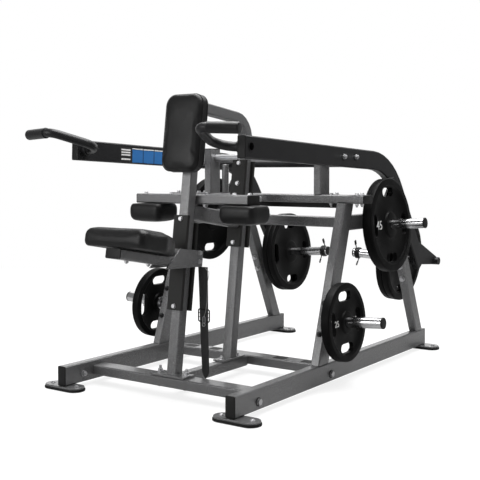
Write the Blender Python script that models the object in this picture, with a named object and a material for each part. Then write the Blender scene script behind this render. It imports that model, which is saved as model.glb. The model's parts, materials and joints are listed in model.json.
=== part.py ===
"""Seated dip machine, built in Blender.

Metres, +Z up.  +Y runs from the seat end to the rear, and +X is the right
side for someone who looks at the seat end.  While it is built, Y = 0 is the
front end of the side rails and Z = 0 is the underside of the steel foot
plates, which stand on rubber.  The last step moves the whole machine so that
the origin is the middle of its underside, on the floor.
"""
import math

import bmesh
import bpy
from mathutils import Matrix, Vector

# General fit
GAP = 0.0003              # joint line between pieces that touch
TUBE_WALL = 0.003
CORNER = 0.005            # outer corner radius of the box tube
CORNER_STEPS = 1

# Base frame
BASE_WIDTH = 0.952        # over the two side rails
BASE_LENGTH = 1.800
RAIL_WIDTH = 0.045
RAIL_HEIGHT = 0.087
FOOT_THICK = 0.0075       # steel of a foot plate
FOOT_RUBBER = 0.012       # moulded rubber under the steel
FOOT_LENGTH = 0.215       # across the machine
FOOT_DEPTH = 0.090
FRONT_FOOT_Y = 0.027
FRONT_FOOT_OUT = 0.011    # front feet sit this far outside the rails' middle
REAR_FOOT_Y = 1.789
FOOT_BOLT_HOLE = 0.013
FOOT_BOLT_OFFSET = 0.073
CROSS_TOP = 0.0735        # top faces of all three members between the rails
CROSS_HEIGHT = 0.0435
CROSS_DEPTH = 0.082
FRONT_CROSS_Y = 0.168
MIDDLE_CROSS_Y = 0.745
CENTRE_BEAM = 0.050

# Leaning posts on the centre line
POST_WIDTH = 0.054
POST_DEPTH = 0.048
POST_LEAN = math.radians(7.5)
SEAT_POST_Y = 0.1976      # front face where it meets its base plate
SEAT_POST_TOP = 1.252
REAR_POST_Y = 0.6047
REAR_POST_BEND = 0.105
NECK_RISE = math.radians(6.3)
NECK_Z = 1.232            # neck centre line where it meets the seat post
POST_PLATE_THICK = 0.008
SEAT_PLATE_SIZE = (0.180, 0.080)
REAR_PLATE_SIZE = (0.064, 0.170)
STRIP_WIDTH = 0.079
STRIP_THICK = 0.016
SEAT_STRIP_Z = (0.350, 0.756)
SEAT_REAR_STRIP_Z = (0.350, 0.728)
REAR_STRIP_Z = (0.594, 1.000)
LINK_HEIGHT = 0.066
LINK_WIDTH = 0.050
LINK_TILT = math.radians(8.7)
LINK_Z = 0.737            # underside where it meets the seat post

# Side frames
UPRIGHT_WIDTH = 0.045
FRONT_UPRIGHT_DEPTH = 0.085
FRONT_UPRIGHT_LEAN = math.radians(18.2)
FRONT_UPRIGHT_Y = 0.638   # front face at the top of the rail
REAR_UPRIGHT_DEPTH = 0.070
REAR_UPRIGHT_LEAN = math.radians(25.0)
REAR_UPRIGHT_Y = 1.725    # centre line at the top of the rail
REAR_UPRIGHT_BEND = 0.190
SIDE_BAR_Z = 0.712        # centre line of its level top

# Cross beams
BEARING_BEAM = (1.117, 0.086, 0.039)
BEARING_BEAM_Y = 0.887
BEARING_BEAM_Z = 0.802
THIGH_BAR = (0.612, 0.090, 0.042)
THIGH_BAR_X = -0.012      # its middle, a little to the left
THIGH_BAR_Y = 0.3466
THIGH_BAR_Z = 0.806
REAR_TIE = 0.050
REAR_TIE_Y = 0.990
REAR_TIE_Z = 0.683

# Pivot
PIVOT_Y = 0.940
PIVOT_Z = 1.0175
PIVOT_POST_WIDTH = 0.041
PIVOT_POST_DEPTH = 0.086
PIVOT_POST_OUTER = 0.3405
PIVOT_POST_TOP = 1.062
PIVOT_SHAFT_RADIUS = 0.0185
PIVOT_SHAFT_END = 0.4262
RUNNING_FIT = 0.0001      # radial clearance round the shaft
ROUND_STEPS = 32
STOP_ROD_RADIUS = 0.018
STOP_ROD = (-0.235, 0.925, 0.985)
BEARING_SIZE = (0.155, 0.080)
BEARING_THICK = 0.012
BEARING_HUB = 0.036
BEARING_INNER = 0.397

TORQUE_TUBE_RADIUS = 0.0165
TORQUE_TUBE_Y = 1.045
TORQUE_TUBE_Z = 0.986

# Press arms
ARM_OUTER = 0.4655
ARM_WIDTH = 0.0385
ARM_HEIGHT = 0.090
ARM_FRONT_Y = 0.086
ARM_FRONT_Z = 1.0437      # centre line at the front end
ARM_SLOPE = math.radians(2.06)
ARM_BEND_Y = 1.376        # where the two straight runs would meet
ARM_BEND = 0.380
TAIL_ANGLE = math.radians(54.0)
TAIL_LENGTH = 0.680
BRACKET_THICK = 0.012
GUSSET_CLEAR = 0.0025     # beside the frame's side bar
GUSSET_NOSE = 0.040
TAIL_BAR = (1.996, 0.447)
TAIL_BAR_RADIUS = 0.021

# Loading horns and plates
HORN_RADIUS = 0.0245
HORN_WALL = 0.0035
HORN_SPAN = 0.0097         # thickness of the stop collar
OUTER_HORN = (1.205, 0.691)
OUTER_HORN_TIP = 0.728
OUTER_HORN_TILT = math.radians(4.7)   # each horn rises toward its tip
INNER_HORN = (1.7225, 0.478)
INNER_HORN_TIP = 0.080
INNER_HORN_TILT = math.radians(3.8)
STORE_HORN = (0.7504, 0.2813)
STORE_HORN_TIP = 0.733
STORE_HORN_TILT = math.radians(3.8)
COLLAR_RADIUS = 0.034
HORN_ROOT_SPARE = 0.010   # cut away again at the mitre

PLATE_DIAMETER = 0.450
PLATE_THICK = 0.048
INNER_PLATE_THICK = 0.0325
SMALL_PLATE_DIAMETER = 0.350
SMALL_PLATE_THICK = 0.042
PLATE_BORE = 0.0253
PLATE_STEPS = 24
RIM_SHARE = 0.86          # inner radius of a plate's rim
HUB_SHARE = 0.27
GRIP_HOLE = (0.058, 0.034)   # along the rim and across it
GRIP_FROM_RIM = 0.0245    # middle of a grip hole, inside the rim
HORN_STEPS = 20
OUTER_PLATE_X = 0.508     # inner face of the plate on each outer horn
INNER_PLATE_X = 0.390     # outer face of the outer one of each pair
STORED_PLATE_X = 0.517
CLIP_X = 0.098
CLIP_WIRE = 0.003
CLIP_TURNS = 3
CLIP_STEPS = 12
CLIP_LEG = 0.045

# Handles
HANDLE_RADIUS = 0.019
HANDLE_FIT = 0.0004       # radial clearance of a handle in its arm
HANDLE_STEPS = 16
GRIP_RADIUS = 0.0225
HANDLE_AXIS = (0.122, 1.045)
HANDLE_ELBOW = 0.296
HANDLE_BEND = (0.388, -0.112, 1.112)
HANDLE_END = (0.556, -0.084, 1.106)

# Seat
SEAT_TILT = math.radians(10.0)
SEAT_FRONT_Y = -0.176
SEAT_REAR_Y = 0.167
SEAT_UNDER_Z = 0.6215      # underside of the pad at Y = 0
SEAT_THICK = 0.086
SEAT_HALF_FRONT = 0.164
SEAT_HALF_REAR = 0.052
SEAT_SHOULDER_Y = -0.020  # where the cushion starts to taper
SEAT_BEAM_HEIGHT = 0.042
SEAT_BEAM_WIDTH = 0.079
SEAT_BEAM_FRONT = -0.153
CARRIAGE_WALL = 0.008
CARRIAGE_FIT = 0.0006
CARRIAGE_SIDE = ((0.114, 0.542), (0.357, 0.533), (0.366, 0.601), (0.209, 0.622))
PIN_Z = 0.560
PIN_RADIUS = 0.006
PIN_THROW = 0.014         # free pull behind the carriage wall
KNOB_RADIUS = 0.013
BELT_WIDTH = 0.052
BELT_THICK = 0.003
BELT_X = 0.063
BELT_Y = 0.350
BELT_LOW = 0.042
BUCKLE_Z = (0.290, 0.350)

# Pads
CHEST_PAD = (0.206, 0.074)   # width and thickness
CHEST_PAD_Z = (0.930, 1.280)
CHEST_PAD_CORNER = 0.050
THIGH_PAD = (0.189, 0.156, 0.089)
THIGH_PAD_X = 0.2525
THIGH_PAD_CORNER = 0.030
THIGH_PAD_Y = 0.387


def clear_scene():
    """Remove every object that a new file holds."""
    for thing in list(bpy.data.objects):
        bpy.data.objects.remove(thing, do_unlink=True)


def material(name, colour, roughness, metallic):
    """A Principled material of one colour."""
    made = bpy.data.materials.new(name)
    made.use_nodes = True
    shader = made.node_tree.nodes["Principled BSDF"]
    shader.inputs["Base Color"].default_value = (*colour, 1.0)
    shader.inputs["Roughness"].default_value = roughness
    shader.inputs["Metallic"].default_value = metallic
    made.diffuse_color = (*colour, 1.0)
    return made


def make_materials():
    """The machine's finishes by name."""
    return {
        "frame_paint": material("frame_paint", (0.13, 0.13, 0.135), 0.42, 0.6),
        "arm_paint": material("arm_paint", (0.018, 0.018, 0.02), 0.35, 0.2),
        "chrome": material("chrome", (0.75, 0.75, 0.76), 0.12, 1.0),
        "zinc": material("zinc", (0.62, 0.62, 0.64), 0.3, 1.0),
        "slide_plastic": material("slide_plastic", (0.02, 0.02, 0.019), 0.5, 0.0),
        "plate_paint": material("plate_paint", (0.008, 0.008, 0.008), 0.5, 0.1),
        "upholstery": material("upholstery", (0.022, 0.022, 0.023), 0.45, 0.0),
        "webbing": material("webbing", (0.02, 0.02, 0.021), 0.8, 0.0),
    }


def finish(name, mesh_data, finish_name, sharp=32.0):
    """Turn a bmesh into a named, shaded object with outward faces."""
    bmesh.ops.recalc_face_normals(mesh_data, faces=mesh_data.faces)
    mesh = bpy.data.meshes.new(name)
    mesh_data.to_mesh(mesh)
    mesh_data.free()
    mesh.shade_smooth()
    mesh.set_sharp_from_angle(angle=math.radians(sharp))
    mesh.materials.append(MATERIALS[finish_name])
    made = bpy.data.objects.new(name, mesh)
    bpy.context.collection.objects.link(made)
    return made


def rounded_rectangle(width, depth, corner=CORNER, steps=CORNER_STEPS):
    """Points of a rounded rectangle about the origin, anticlockwise."""
    points = []
    for side_x, side_y, start in ((1, 1, 0), (-1, 1, 90), (-1, -1, 180), (1, -1, 270)):
        for step in range(steps + 1):
            angle = math.radians(start + 90 * step / steps)
            across = side_x * (width / 2 - corner) + corner * math.cos(angle)
            along = side_y * (depth / 2 - corner) + corner * math.sin(angle)
            points.append((across, along))
    return points


def fillet(before, corner, after, radius, steps):
    """Points of the arc that rounds one corner of a route."""
    before, corner, after = Vector(before), Vector(corner), Vector(after)
    way_in = (corner - before).normalized()
    way_out = (after - corner).normalized()
    turn = way_in.angle(way_out)
    start = corner - way_in * radius * math.tan(turn / 2)
    side = (way_out - way_in * math.cos(turn)) / math.sin(turn)
    turns = (turn * step / steps for step in range(steps + 1))
    return [start + way_in * radius * math.sin(at) + side * radius * (1 - math.cos(at)) for at in turns]


def bent_path(corners, radius, steps=8):
    """A route through corner points, with each inner corner rounded."""
    path = [Vector(corners[0])]
    for before, corner, after in zip(corners, corners[1:], corners[2:]):
        path += fillet(before, corner, after, radius, steps)
    path.append(Vector(corners[-1]))
    return path


def rounded_outline(corners, radius, steps=5):
    """A closed outline of (a, b) pairs with every corner rounded alike."""
    count = len(corners)
    points = []
    for place in range(count):
        before = (*corners[place - 1], 0)
        after = (*corners[(place + 1) % count], 0)
        points += fillet(before, (*corners[place], 0), after, radius, steps)
    return [(point.x, point.y) for point in points]


def tube_rings(profile, path, across, cut_start, cut_end):
    """One ring of points at each point of the path, mitred between its runs."""
    rings = []
    last = len(path) - 1
    for place, point in enumerate(path):
        way_in = (point - path[max(place - 1, 0)]).normalized()
        way_out = (path[min(place + 1, last)] - point).normalized()
        way = way_out if place < last else way_in
        plane = way_in + way_out
        if place == 0 and cut_start:
            plane = Vector(cut_start)
        if place == last and cut_end:
            plane = Vector(cut_end)
        upward = way.cross(across).normalized()
        ring = []
        for over, up in profile:
            offset = across * over + upward * up
            ring.append(point + offset - way * (offset.dot(plane) / way.dot(plane)))
        rings.append(ring)
    return rings


def join_rings(mesh_data, rings):
    """Faces between successive rings; returns the rings of vertices."""
    made = [[mesh_data.verts.new(point) for point in ring] for ring in rings]
    for first, second in zip(made, made[1:]):
        for here in range(len(first)):
            after = (here + 1) % len(first)
            mesh_data.faces.new((first[here], first[after], second[after], second[here]))
    return made


def box_tube(name, path, size, finish_name="frame_paint", across=(1, 0, 0), wall=TUBE_WALL,
             cut_start=None, cut_end=None):
    """A box tube of size (across, up) along a path, open at both ends."""
    across = Vector(across)
    path = [Vector(point) for point in path]
    width, height = size
    outer = rounded_rectangle(width, height)
    inner = rounded_rectangle(width - 2 * wall, height - 2 * wall, CORNER - wall / 2)
    mesh_data = bmesh.new()
    outside = join_rings(mesh_data, tube_rings(outer, path, across, cut_start, cut_end))
    inside = join_rings(mesh_data, tube_rings(inner, path, across, cut_start, cut_end))
    close_ends(mesh_data, outside, inside)
    return finish(name, mesh_data, finish_name)


def close_ends(mesh_data, outside, inside):
    """Ring faces that join the outer and inner skins of a tube at its ends."""
    for out_ring, in_ring in ((outside[0], inside[0]), (outside[-1], inside[-1])):
        for here in range(len(out_ring)):
            after = (here + 1) % len(out_ring)
            mesh_data.faces.new((out_ring[here], out_ring[after], in_ring[after], in_ring[here]))


def bar(name, path, profile, finish_name, across=(1, 0, 0), cut_start=None, cut_end=None):
    """A solid bar of one cross section along a path."""
    path = [Vector(point) for point in path]
    mesh_data = bmesh.new()
    made = join_rings(mesh_data, tube_rings(profile, path, Vector(across), cut_start, cut_end))
    mesh_data.faces.new(made[0])
    mesh_data.faces.new(made[-1])
    return finish(name, mesh_data, finish_name)


def carried_rings(path, radii, steps):
    """Rings round a path that bends freely, turned as little as possible."""
    rings = []
    across = None
    last = len(path) - 1
    for place, point in enumerate(path):
        way = (path[min(place + 1, last)] - path[max(place - 1, 0)]).normalized()
        if across is None:
            across = way.orthogonal().normalized()
        across = (across - way * across.dot(way)).normalized()
        upward = way.cross(across)
        ring = []
        for over, up in circle((0, 0), radii[place], steps):
            ring.append(point + across * over + upward * up)
        rings.append(ring)
    return rings


def round_bar(name, path, radii, finish_name, steps=16, bore=None):
    """A round bar along a path, or a tube when it has a bore."""
    path = [Vector(point) for point in path]
    mesh_data = bmesh.new()
    outside = join_rings(mesh_data, carried_rings(path, radii, steps))
    if bore is None:
        mesh_data.faces.new(outside[0])
        mesh_data.faces.new(outside[-1])
    else:
        inside = join_rings(mesh_data, carried_rings(path, [bore] * len(path), steps))
        close_ends(mesh_data, outside, inside)
    return finish(name, mesh_data, finish_name)


def cross_tube(name, left, right, y_low, z_low, depth, height, finish_name="frame_paint"):
    """A level box tube across the machine, given by its front lower edge."""
    y = y_low + depth / 2
    z = z_low + height / 2
    path = ((left, y, z), (right, y, z))
    return box_tube(name, path, (depth, height), finish_name, across=(0, 1, 0))


def slab(name, outline, low, high, finish_name, axis="X"):
    """An outline pushed straight from low to high along an axis.

    The outline holds (Y, Z) pairs for axis X and (X, Y) pairs for axis Z.
    """
    mesh_data = bmesh.new()
    place = (lambda a, b, c: (c, a, b)) if axis == "X" else (lambda a, b, c: (a, b, c))
    rings = [[place(first, second, level) for first, second in outline] for level in (low, high)]
    made = join_rings(mesh_data, rings)
    mesh_data.faces.new(made[0])
    mesh_data.faces.new(made[1])
    return finish(name, mesh_data, finish_name)


def circle(centre, radius, steps, start=0.0, sweep=360.0):
    """Points on a circle, or on an arc of it, in one plane."""
    count = steps if sweep == 360.0 else steps + 1
    turns = (math.radians(start + sweep * step / steps) for step in range(count))
    return [(centre[0] + radius * math.cos(turn), centre[1] + radius * math.sin(turn)) for turn in turns]


def stadium(centre, length, width, steps=8):
    """A round-ended slot outline that is long in its first direction."""
    reach = (length - width) / 2
    right = circle((centre[0] + reach, centre[1]), width / 2, steps, -90, 180)
    left = circle((centre[0] - reach, centre[1]), width / 2, steps, 90, 180)
    return right + left


def turned(name, profile, centre, finish_name, steps=24, ring=False):
    """A solid turned about an X axis through centre (Y, Z).

    The profile is (x, radius) pairs in order along the axis.  With ring set
    it is a closed loop round a bore.
    """
    mesh_data = bmesh.new()
    rings = []
    for x, radius in profile:
        rings.append([(x, y, z) for y, z in circle(centre, radius, steps)])
    if ring:
        rings.append(rings[0])
    made = [[mesh_data.verts.new(point) for point in points] for points in rings[:len(profile)]]
    if ring:
        made.append(made[0])
    for first, second in zip(made, made[1:]):
        for here in range(steps):
            after = (here + 1) % steps
            mesh_data.faces.new((first[here], first[after], second[after], second[here]))
    if not ring:
        mesh_data.faces.new(made[0])
        mesh_data.faces.new(made[-1])
    return finish(name, mesh_data, finish_name)


def boolean(target, tool, operation):
    """Cut a tool out of a target, or weld it on, and apply the result."""
    modifier = target.modifiers.new("shape", "BOOLEAN")
    modifier.operation = operation
    modifier.solver = "EXACT"
    modifier.object = tool
    graph = bpy.context.evaluated_depsgraph_get()
    shaped = bpy.data.meshes.new_from_object(target.evaluated_get(graph))
    target.modifiers.clear()
    old = target.data
    target.data = shaped
    bpy.data.meshes.remove(old)
    bpy.data.objects.remove(tool, do_unlink=True)
    return target


def cut(target, tool):
    """Cut a tool's shape out of a target."""
    return boolean(target, tool, "DIFFERENCE")


def weld(target, tool):
    """Join a tool's shape to a target."""
    return boolean(target, tool, "UNION")


def bore_x(target, centre, radius, low, high, steps=24):
    """A round hole through a target along X."""
    tool = slab("cutter", circle(centre, radius, steps), low, high, "zinc")
    return cut(target, tool)


def cushion(name, outline, thickness, place, drawn_in=0.010, crown=0.006):
    """A padded cushion with a flat back, full sides and a crowned face.

    The outline holds (u, v) pairs about the cushion's middle.  Place turns
    (u, v, height) into a point of the machine.
    """
    half_u = max(abs(u) for u, v in outline)
    half_v = max(abs(v) for u, v in outline)
    shoulder = thickness * 0.42
    levels = [(drawn_in, 0.0), (drawn_in * 0.35, thickness * 0.10), (0.0, thickness * 0.24),
              (0.0, thickness - shoulder)]
    for degrees in (25, 50, 70):
        turn = math.radians(degrees)
        rise = thickness - shoulder * (1 - math.sin(turn))
        levels.append((shoulder * (1 - math.cos(turn)), rise))
    levels.append((shoulder * 1.15, thickness))
    levels.append((shoulder * 1.15 + (half_u - shoulder * 1.15) * 0.5, thickness))
    mesh_data = bmesh.new()
    rings = []
    for inset, height in levels:
        ring = []
        for u, v in outline:
            u, v = u * (1 - inset / half_u), v * (1 - inset / half_v)
            swell = crown * (1 - (u / half_u) ** 2) * (1 - (v / half_v) ** 2)
            rise = height - crown + swell if height >= thickness else min(height, thickness - crown)
            ring.append(place(u, v, rise))
        rings.append(ring)
    made = join_rings(mesh_data, rings)
    mesh_data.faces.new(made[0])
    middle = mesh_data.verts.new(place(0, 0, thickness))
    for here in range(len(outline)):
        mesh_data.faces.new((made[-1][here], made[-1][(here + 1) % len(outline)], middle))
    return finish(name, mesh_data, "upholstery", 50.0)


SIDES = (("right", 1.0), ("left", -1.0))


def span(sign, first, second):
    """Two X places on one side of the machine, in rising order."""
    return sorted((sign * first, sign * second))


# Base frame

RAIL_INNER = BASE_WIDTH / 2 - RAIL_WIDTH
RAIL_MIDDLE = BASE_WIDTH / 2 - RAIL_WIDTH / 2
RAIL_TOP = FOOT_THICK + GAP + RAIL_HEIGHT
CROSS_LOW = CROSS_TOP - CROSS_HEIGHT


def side_rail(side, sign):
    """A floor rail, open at its rear end and plugged at its front."""
    x = sign * RAIL_MIDDLE
    z = RAIL_TOP - RAIL_HEIGHT / 2
    path = ((x, 0, z), (x, BASE_LENGTH, z))
    return box_tube("side_rail_" + side, path, (RAIL_WIDTH, RAIL_HEIGHT))


def foot_plate(side, end, x, y):
    """A round-ended foot with two floor bolt holes, under a rail's end."""
    outline = stadium((x, y), FOOT_LENGTH, FOOT_DEPTH, 6)
    plate = slab("foot_plate_" + end + "_" + side, outline, -FOOT_RUBBER, FOOT_THICK, "frame_paint", "Z")
    for offset in (-FOOT_BOLT_OFFSET, FOOT_BOLT_OFFSET):
        centre = (x + offset, y)
        hole = slab("cutter", circle(centre, FOOT_BOLT_HOLE / 2, 12), -1, 1, "zinc", "Z")
        cut(plate, hole)
    return plate


def build_base():
    """Rails, feet and the members between the rails."""
    for side, sign in SIDES:
        side_rail(side, sign)
        foot_plate(side, "front", sign * (RAIL_MIDDLE + FRONT_FOOT_OUT), FRONT_FOOT_Y)
        foot_plate(side, "rear", sign * RAIL_MIDDLE, REAR_FOOT_Y)
    reach = RAIL_INNER - GAP
    cross_tube("front_cross_member", -reach, reach, FRONT_CROSS_Y, CROSS_LOW, CROSS_DEPTH, CROSS_HEIGHT)
    cross_tube("middle_cross_member", -reach, reach, MIDDLE_CROSS_Y, CROSS_LOW, CROSS_DEPTH, CROSS_HEIGHT)
    z = CROSS_TOP - CENTRE_BEAM / 2
    path = ((0, FRONT_CROSS_Y + CROSS_DEPTH + GAP, z), (0, MIDDLE_CROSS_Y - GAP, z))
    box_tube("centre_beam", path, (CENTRE_BEAM, CENTRE_BEAM))


# Leaning posts

PLATE_TOP = CROSS_TOP + GAP + POST_PLATE_THICK
LEAN_UP = Vector((0, math.sin(POST_LEAN), math.cos(POST_LEAN)))
LEAN_OUT = Vector((0, math.cos(POST_LEAN), -math.sin(POST_LEAN)))
POST_REACH = POST_DEPTH / math.cos(POST_LEAN)


def seat_post_y(z):
    """Y of the seat post's front face at a height."""
    return SEAT_POST_Y + (z - PLATE_TOP) * math.tan(POST_LEAN)


def rear_post_y(z):
    """Y of the rear post's front face at a height."""
    return REAR_POST_Y + (z - PLATE_TOP) * math.tan(POST_LEAN)


def base_plate(size, centre_y):
    """A flat plate that a post's foot is welded to."""
    outline = box_outline((0, centre_y), size[0] / 2, size[1] / 2)
    return slab("plate", outline, PLATE_TOP - POST_PLATE_THICK, PLATE_TOP, "frame_paint", "Z")


def seat_post():
    """The front leaning post, which carries the seat and the chest pad."""
    bottom = PLATE_TOP - POST_PLATE_THICK / 2
    low = (0, seat_post_y(bottom) + POST_REACH / 2, bottom)
    high = (0, seat_post_y(SEAT_POST_TOP) + POST_REACH / 2, SEAT_POST_TOP)
    post = box_tube("seat_post", (low, high), (POST_WIDTH, POST_DEPTH), cut_start=(0, 0, 1))
    return weld(post, base_plate(SEAT_PLATE_SIZE, FRONT_CROSS_Y + CROSS_DEPTH / 2))


def rear_post():
    """The rear post and its neck, one tube bent forward to the seat post."""
    bottom = PLATE_TOP - POST_PLATE_THICK / 2
    low = Vector((0, rear_post_y(bottom) + POST_REACH / 2, bottom))
    neck_end = Vector((0, seat_post_y(NECK_Z) + POST_REACH + GAP, NECK_Z))
    neck_way = Vector((0, math.cos(NECK_RISE), -math.sin(NECK_RISE)))
    run = neck_end - low
    rise = (run.z * neck_way.y - run.y * neck_way.z) / (LEAN_UP.z * neck_way.y - LEAN_UP.y * neck_way.z)
    corner = low + LEAN_UP * rise
    path = bent_path((low, corner, neck_end), REAR_POST_BEND, 6)
    post = box_tube("rear_post", path, (POST_WIDTH, POST_DEPTH), cut_start=(0, 0, 1), cut_end=LEAN_OUT)
    return weld(post, base_plate(REAR_PLATE_SIZE, rear_post_y(PLATE_TOP) + POST_REACH / 2))


def slide_strip(name, post_y, offset, z_range):
    """A plastic strip on the front or rear face of a leaning post."""
    low, high = z_range
    across = STRIP_THICK / 2 + GAP
    middle = post_y((low + high) / 2) + POST_REACH / 2
    centre = Vector((0, middle, (low + high) / 2))
    centre = centre + LEAN_OUT * offset * (POST_DEPTH / 2 + across)
    half = (high - low) / 2 / math.cos(POST_LEAN)
    path = (centre - LEAN_UP * half, centre + LEAN_UP * half)
    return bar(name, path, rounded_rectangle(STRIP_WIDTH, STRIP_THICK, 0.003), "slide_plastic")


def where_leaning(start, way, face_y, offset):
    """The point where a line meets a plane that leans with the posts."""
    reach = (face_y(start.z) + offset - start.y) / (way.y - way.z * math.tan(POST_LEAN))
    return start + way * reach


def link_ends():
    """Centre points of the link where it meets the two posts."""
    way = Vector((0, math.cos(LINK_TILT), -math.sin(LINK_TILT)))
    lift = Vector((0, math.sin(LINK_TILT), math.cos(LINK_TILT))) * LINK_HEIGHT / 2
    start = Vector((0, seat_post_y(LINK_Z) + POST_REACH, LINK_Z)) + lift
    front = where_leaning(start, way, seat_post_y, POST_REACH + GAP)
    rear = where_leaning(start, way, rear_post_y, -GAP)
    return front, rear


def post_link():
    """The short tube that ties the two posts together under the thigh bar."""
    size = (LINK_WIDTH, LINK_HEIGHT)
    return box_tube("post_link", link_ends(), size, cut_start=LEAN_OUT, cut_end=LEAN_OUT)


def link_window(strip):
    """Let the link through the strip on the front of the rear post."""
    profile = rounded_rectangle(LINK_WIDTH + 2 * GAP, LINK_HEIGHT + 2 * GAP)
    front, rear = link_ends()
    through = rear + (rear - front).normalized() * STRIP_THICK
    return cut(strip, bar("cutter", (front, through), profile, "zinc"))


def build_posts():
    """Both posts, their slide strips and the link between them."""
    seat_post()
    rear_post()
    slide_strip("seat_slide_front", seat_post_y, -1, SEAT_STRIP_Z)
    slide_strip("seat_slide_rear", seat_post_y, 1, SEAT_REAR_STRIP_Z)
    link_window(slide_strip("rear_slide_front", rear_post_y, -1, REAR_STRIP_Z))
    slide_strip("rear_slide_rear", rear_post_y, 1, REAR_STRIP_Z)
    post_link()


# Side frames

UPRIGHT_TAN = math.tan(FRONT_UPRIGHT_LEAN)
UPRIGHT_REACH = FRONT_UPRIGHT_DEPTH / math.cos(FRONT_UPRIGHT_LEAN)


def upright_y(z):
    """Y of the front upright's front face at a height."""
    return FRONT_UPRIGHT_Y + (z - RAIL_TOP) * UPRIGHT_TAN


def front_upright(side, sign):
    """The sloping upright under the bearing beam."""
    x = sign * RAIL_MIDDLE
    low, high = RAIL_TOP + GAP, BEARING_BEAM_Z - GAP
    path = [(x, upright_y(z) + UPRIGHT_REACH / 2, z) for z in (low, high)]
    size = (UPRIGHT_WIDTH, FRONT_UPRIGHT_DEPTH)
    return box_tube("front_upright_" + side, path, size, cut_start=(0, 0, 1), cut_end=(0, 0, 1))


def rear_upright(side, sign):
    """The level side bar and rear leg, bent from one tube."""
    x = sign * RAIL_MIDDLE
    face = Vector((0, math.cos(FRONT_UPRIGHT_LEAN), -math.sin(FRONT_UPRIGHT_LEAN)))
    corner_y = REAR_UPRIGHT_Y - (SIDE_BAR_Z - RAIL_TOP) * math.tan(REAR_UPRIGHT_LEAN)
    start = (x, upright_y(SIDE_BAR_Z) + UPRIGHT_REACH + GAP, SIDE_BAR_Z)
    foot = (x, REAR_UPRIGHT_Y, RAIL_TOP + GAP)
    path = bent_path((start, (x, corner_y, SIDE_BAR_Z), foot), REAR_UPRIGHT_BEND, 6)
    size = (UPRIGHT_WIDTH, REAR_UPRIGHT_DEPTH)
    return box_tube("rear_upright_" + side, path, size, cut_start=face, cut_end=(0, 0, 1))


def build_side_frames():
    """Both side frames and the beams that join them."""
    for side, sign in SIDES:
        front_upright(side, sign)
        rear_upright(side, sign)
    beams = (("thigh_pad_bar", THIGH_BAR, THIGH_BAR_X, THIGH_BAR_Y, THIGH_BAR_Z),
             ("bearing_beam", BEARING_BEAM, 0.0, BEARING_BEAM_Y, BEARING_BEAM_Z))
    for name, (length, depth, height), x, y, z in beams:
        cross_tube(name, x - length / 2, x + length / 2, y, z, depth, height)
    reach = RAIL_INNER - GAP
    cross_tube("rear_tie", -reach, reach, REAR_TIE_Y, REAR_TIE_Z, REAR_TIE, REAR_TIE)


# Pivot

BEAM_TOP = BEARING_BEAM_Z + BEARING_BEAM[2]
ARM_INNER = ARM_OUTER - ARM_WIDTH
PIVOT = (PIVOT_Y, PIVOT_Z)


def pivot_post(side, sign):
    """A box post on the bearing beam with a hole for the shaft."""
    x = sign * (PIVOT_POST_OUTER - PIVOT_POST_WIDTH / 2)
    y = BEARING_BEAM_Y + BEARING_BEAM[1] / 2
    path = ((x, y, BEAM_TOP + GAP), (x, y, PIVOT_POST_TOP))
    post = box_tube("pivot_post_" + side, path, (PIVOT_POST_WIDTH, PIVOT_POST_DEPTH))
    return bore_x(post, PIVOT, PIVOT_SHAFT_RADIUS + RUNNING_FIT, *span(sign, 0.28, 0.36), ROUND_STEPS)


def arm_bearing(side, sign):
    """A two-bolt flange bearing on the inner face of an arm."""
    face = ARM_INNER - GAP
    flange = slab("arm_bearing_" + side, stadium(PIVOT, *BEARING_SIZE),
                  *span(sign, face - BEARING_THICK, face), "frame_paint")
    hub = slab("hub", circle(PIVOT, BEARING_HUB, ROUND_STEPS),
               *span(sign, BEARING_INNER, face - BEARING_THICK / 2), "frame_paint")
    weld(flange, hub)
    return bore_x(flange, PIVOT, PIVOT_SHAFT_RADIUS + RUNNING_FIT, *span(sign, 0.38, 0.44), ROUND_STEPS)


def build_pivot():
    """The pivot posts, their shaft, the bearings and the stop rod."""
    for side, sign in SIDES:
        pivot_post(side, sign)
        arm_bearing(side, sign)
    ends = ((-PIVOT_SHAFT_END, PIVOT_SHAFT_RADIUS), (PIVOT_SHAFT_END, PIVOT_SHAFT_RADIUS))
    turned("pivot_shaft", ends, PIVOT, "frame_paint", ROUND_STEPS)
    x, y, top = STOP_ROD
    slab("stop_rod", circle((x, y), STOP_ROD_RADIUS, 16), BEAM_TOP + GAP, top, "frame_paint", "Z")


# Press arms

SLOPE_WAY = Vector((0, math.cos(ARM_SLOPE), -math.sin(ARM_SLOPE)))
TAIL_WAY = Vector((0, math.cos(TAIL_ANGLE), -math.sin(TAIL_ANGLE)))
ARM_MIDDLE = ARM_OUTER - ARM_WIDTH / 2


def arm_corner(x):
    """The point where an arm's two straight runs would meet."""
    return Vector((x, ARM_BEND_Y, ARM_FRONT_Z - (ARM_BEND_Y - ARM_FRONT_Y) * math.tan(ARM_SLOPE)))


def arm_tube(side, sign):
    """The bent box tube of one arm."""
    x = sign * ARM_MIDDLE
    corner = arm_corner(x)
    path = bent_path(((x, ARM_FRONT_Y, ARM_FRONT_Z), corner, corner + TAIL_WAY * TAIL_LENGTH), ARM_BEND, 7)
    return box_tube("press_arm_" + side, path, (ARM_WIDTH, ARM_HEIGHT), "arm_paint")


def bend_point(offset, degrees):
    """(Y, Z) of a point in the arm's bend, by its offset from the centre line."""
    turn = TAIL_ANGLE - ARM_SLOPE
    corner = arm_corner(0)
    start = corner - SLOPE_WAY * ARM_BEND * math.tan(turn / 2)
    centre = start - Vector((0, math.sin(ARM_SLOPE), math.cos(ARM_SLOPE))) * ARM_BEND
    radius = ARM_BEND + offset
    at = math.radians(degrees)
    return centre.y + radius * math.sin(at), centre.z + radius * math.cos(at)


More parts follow.
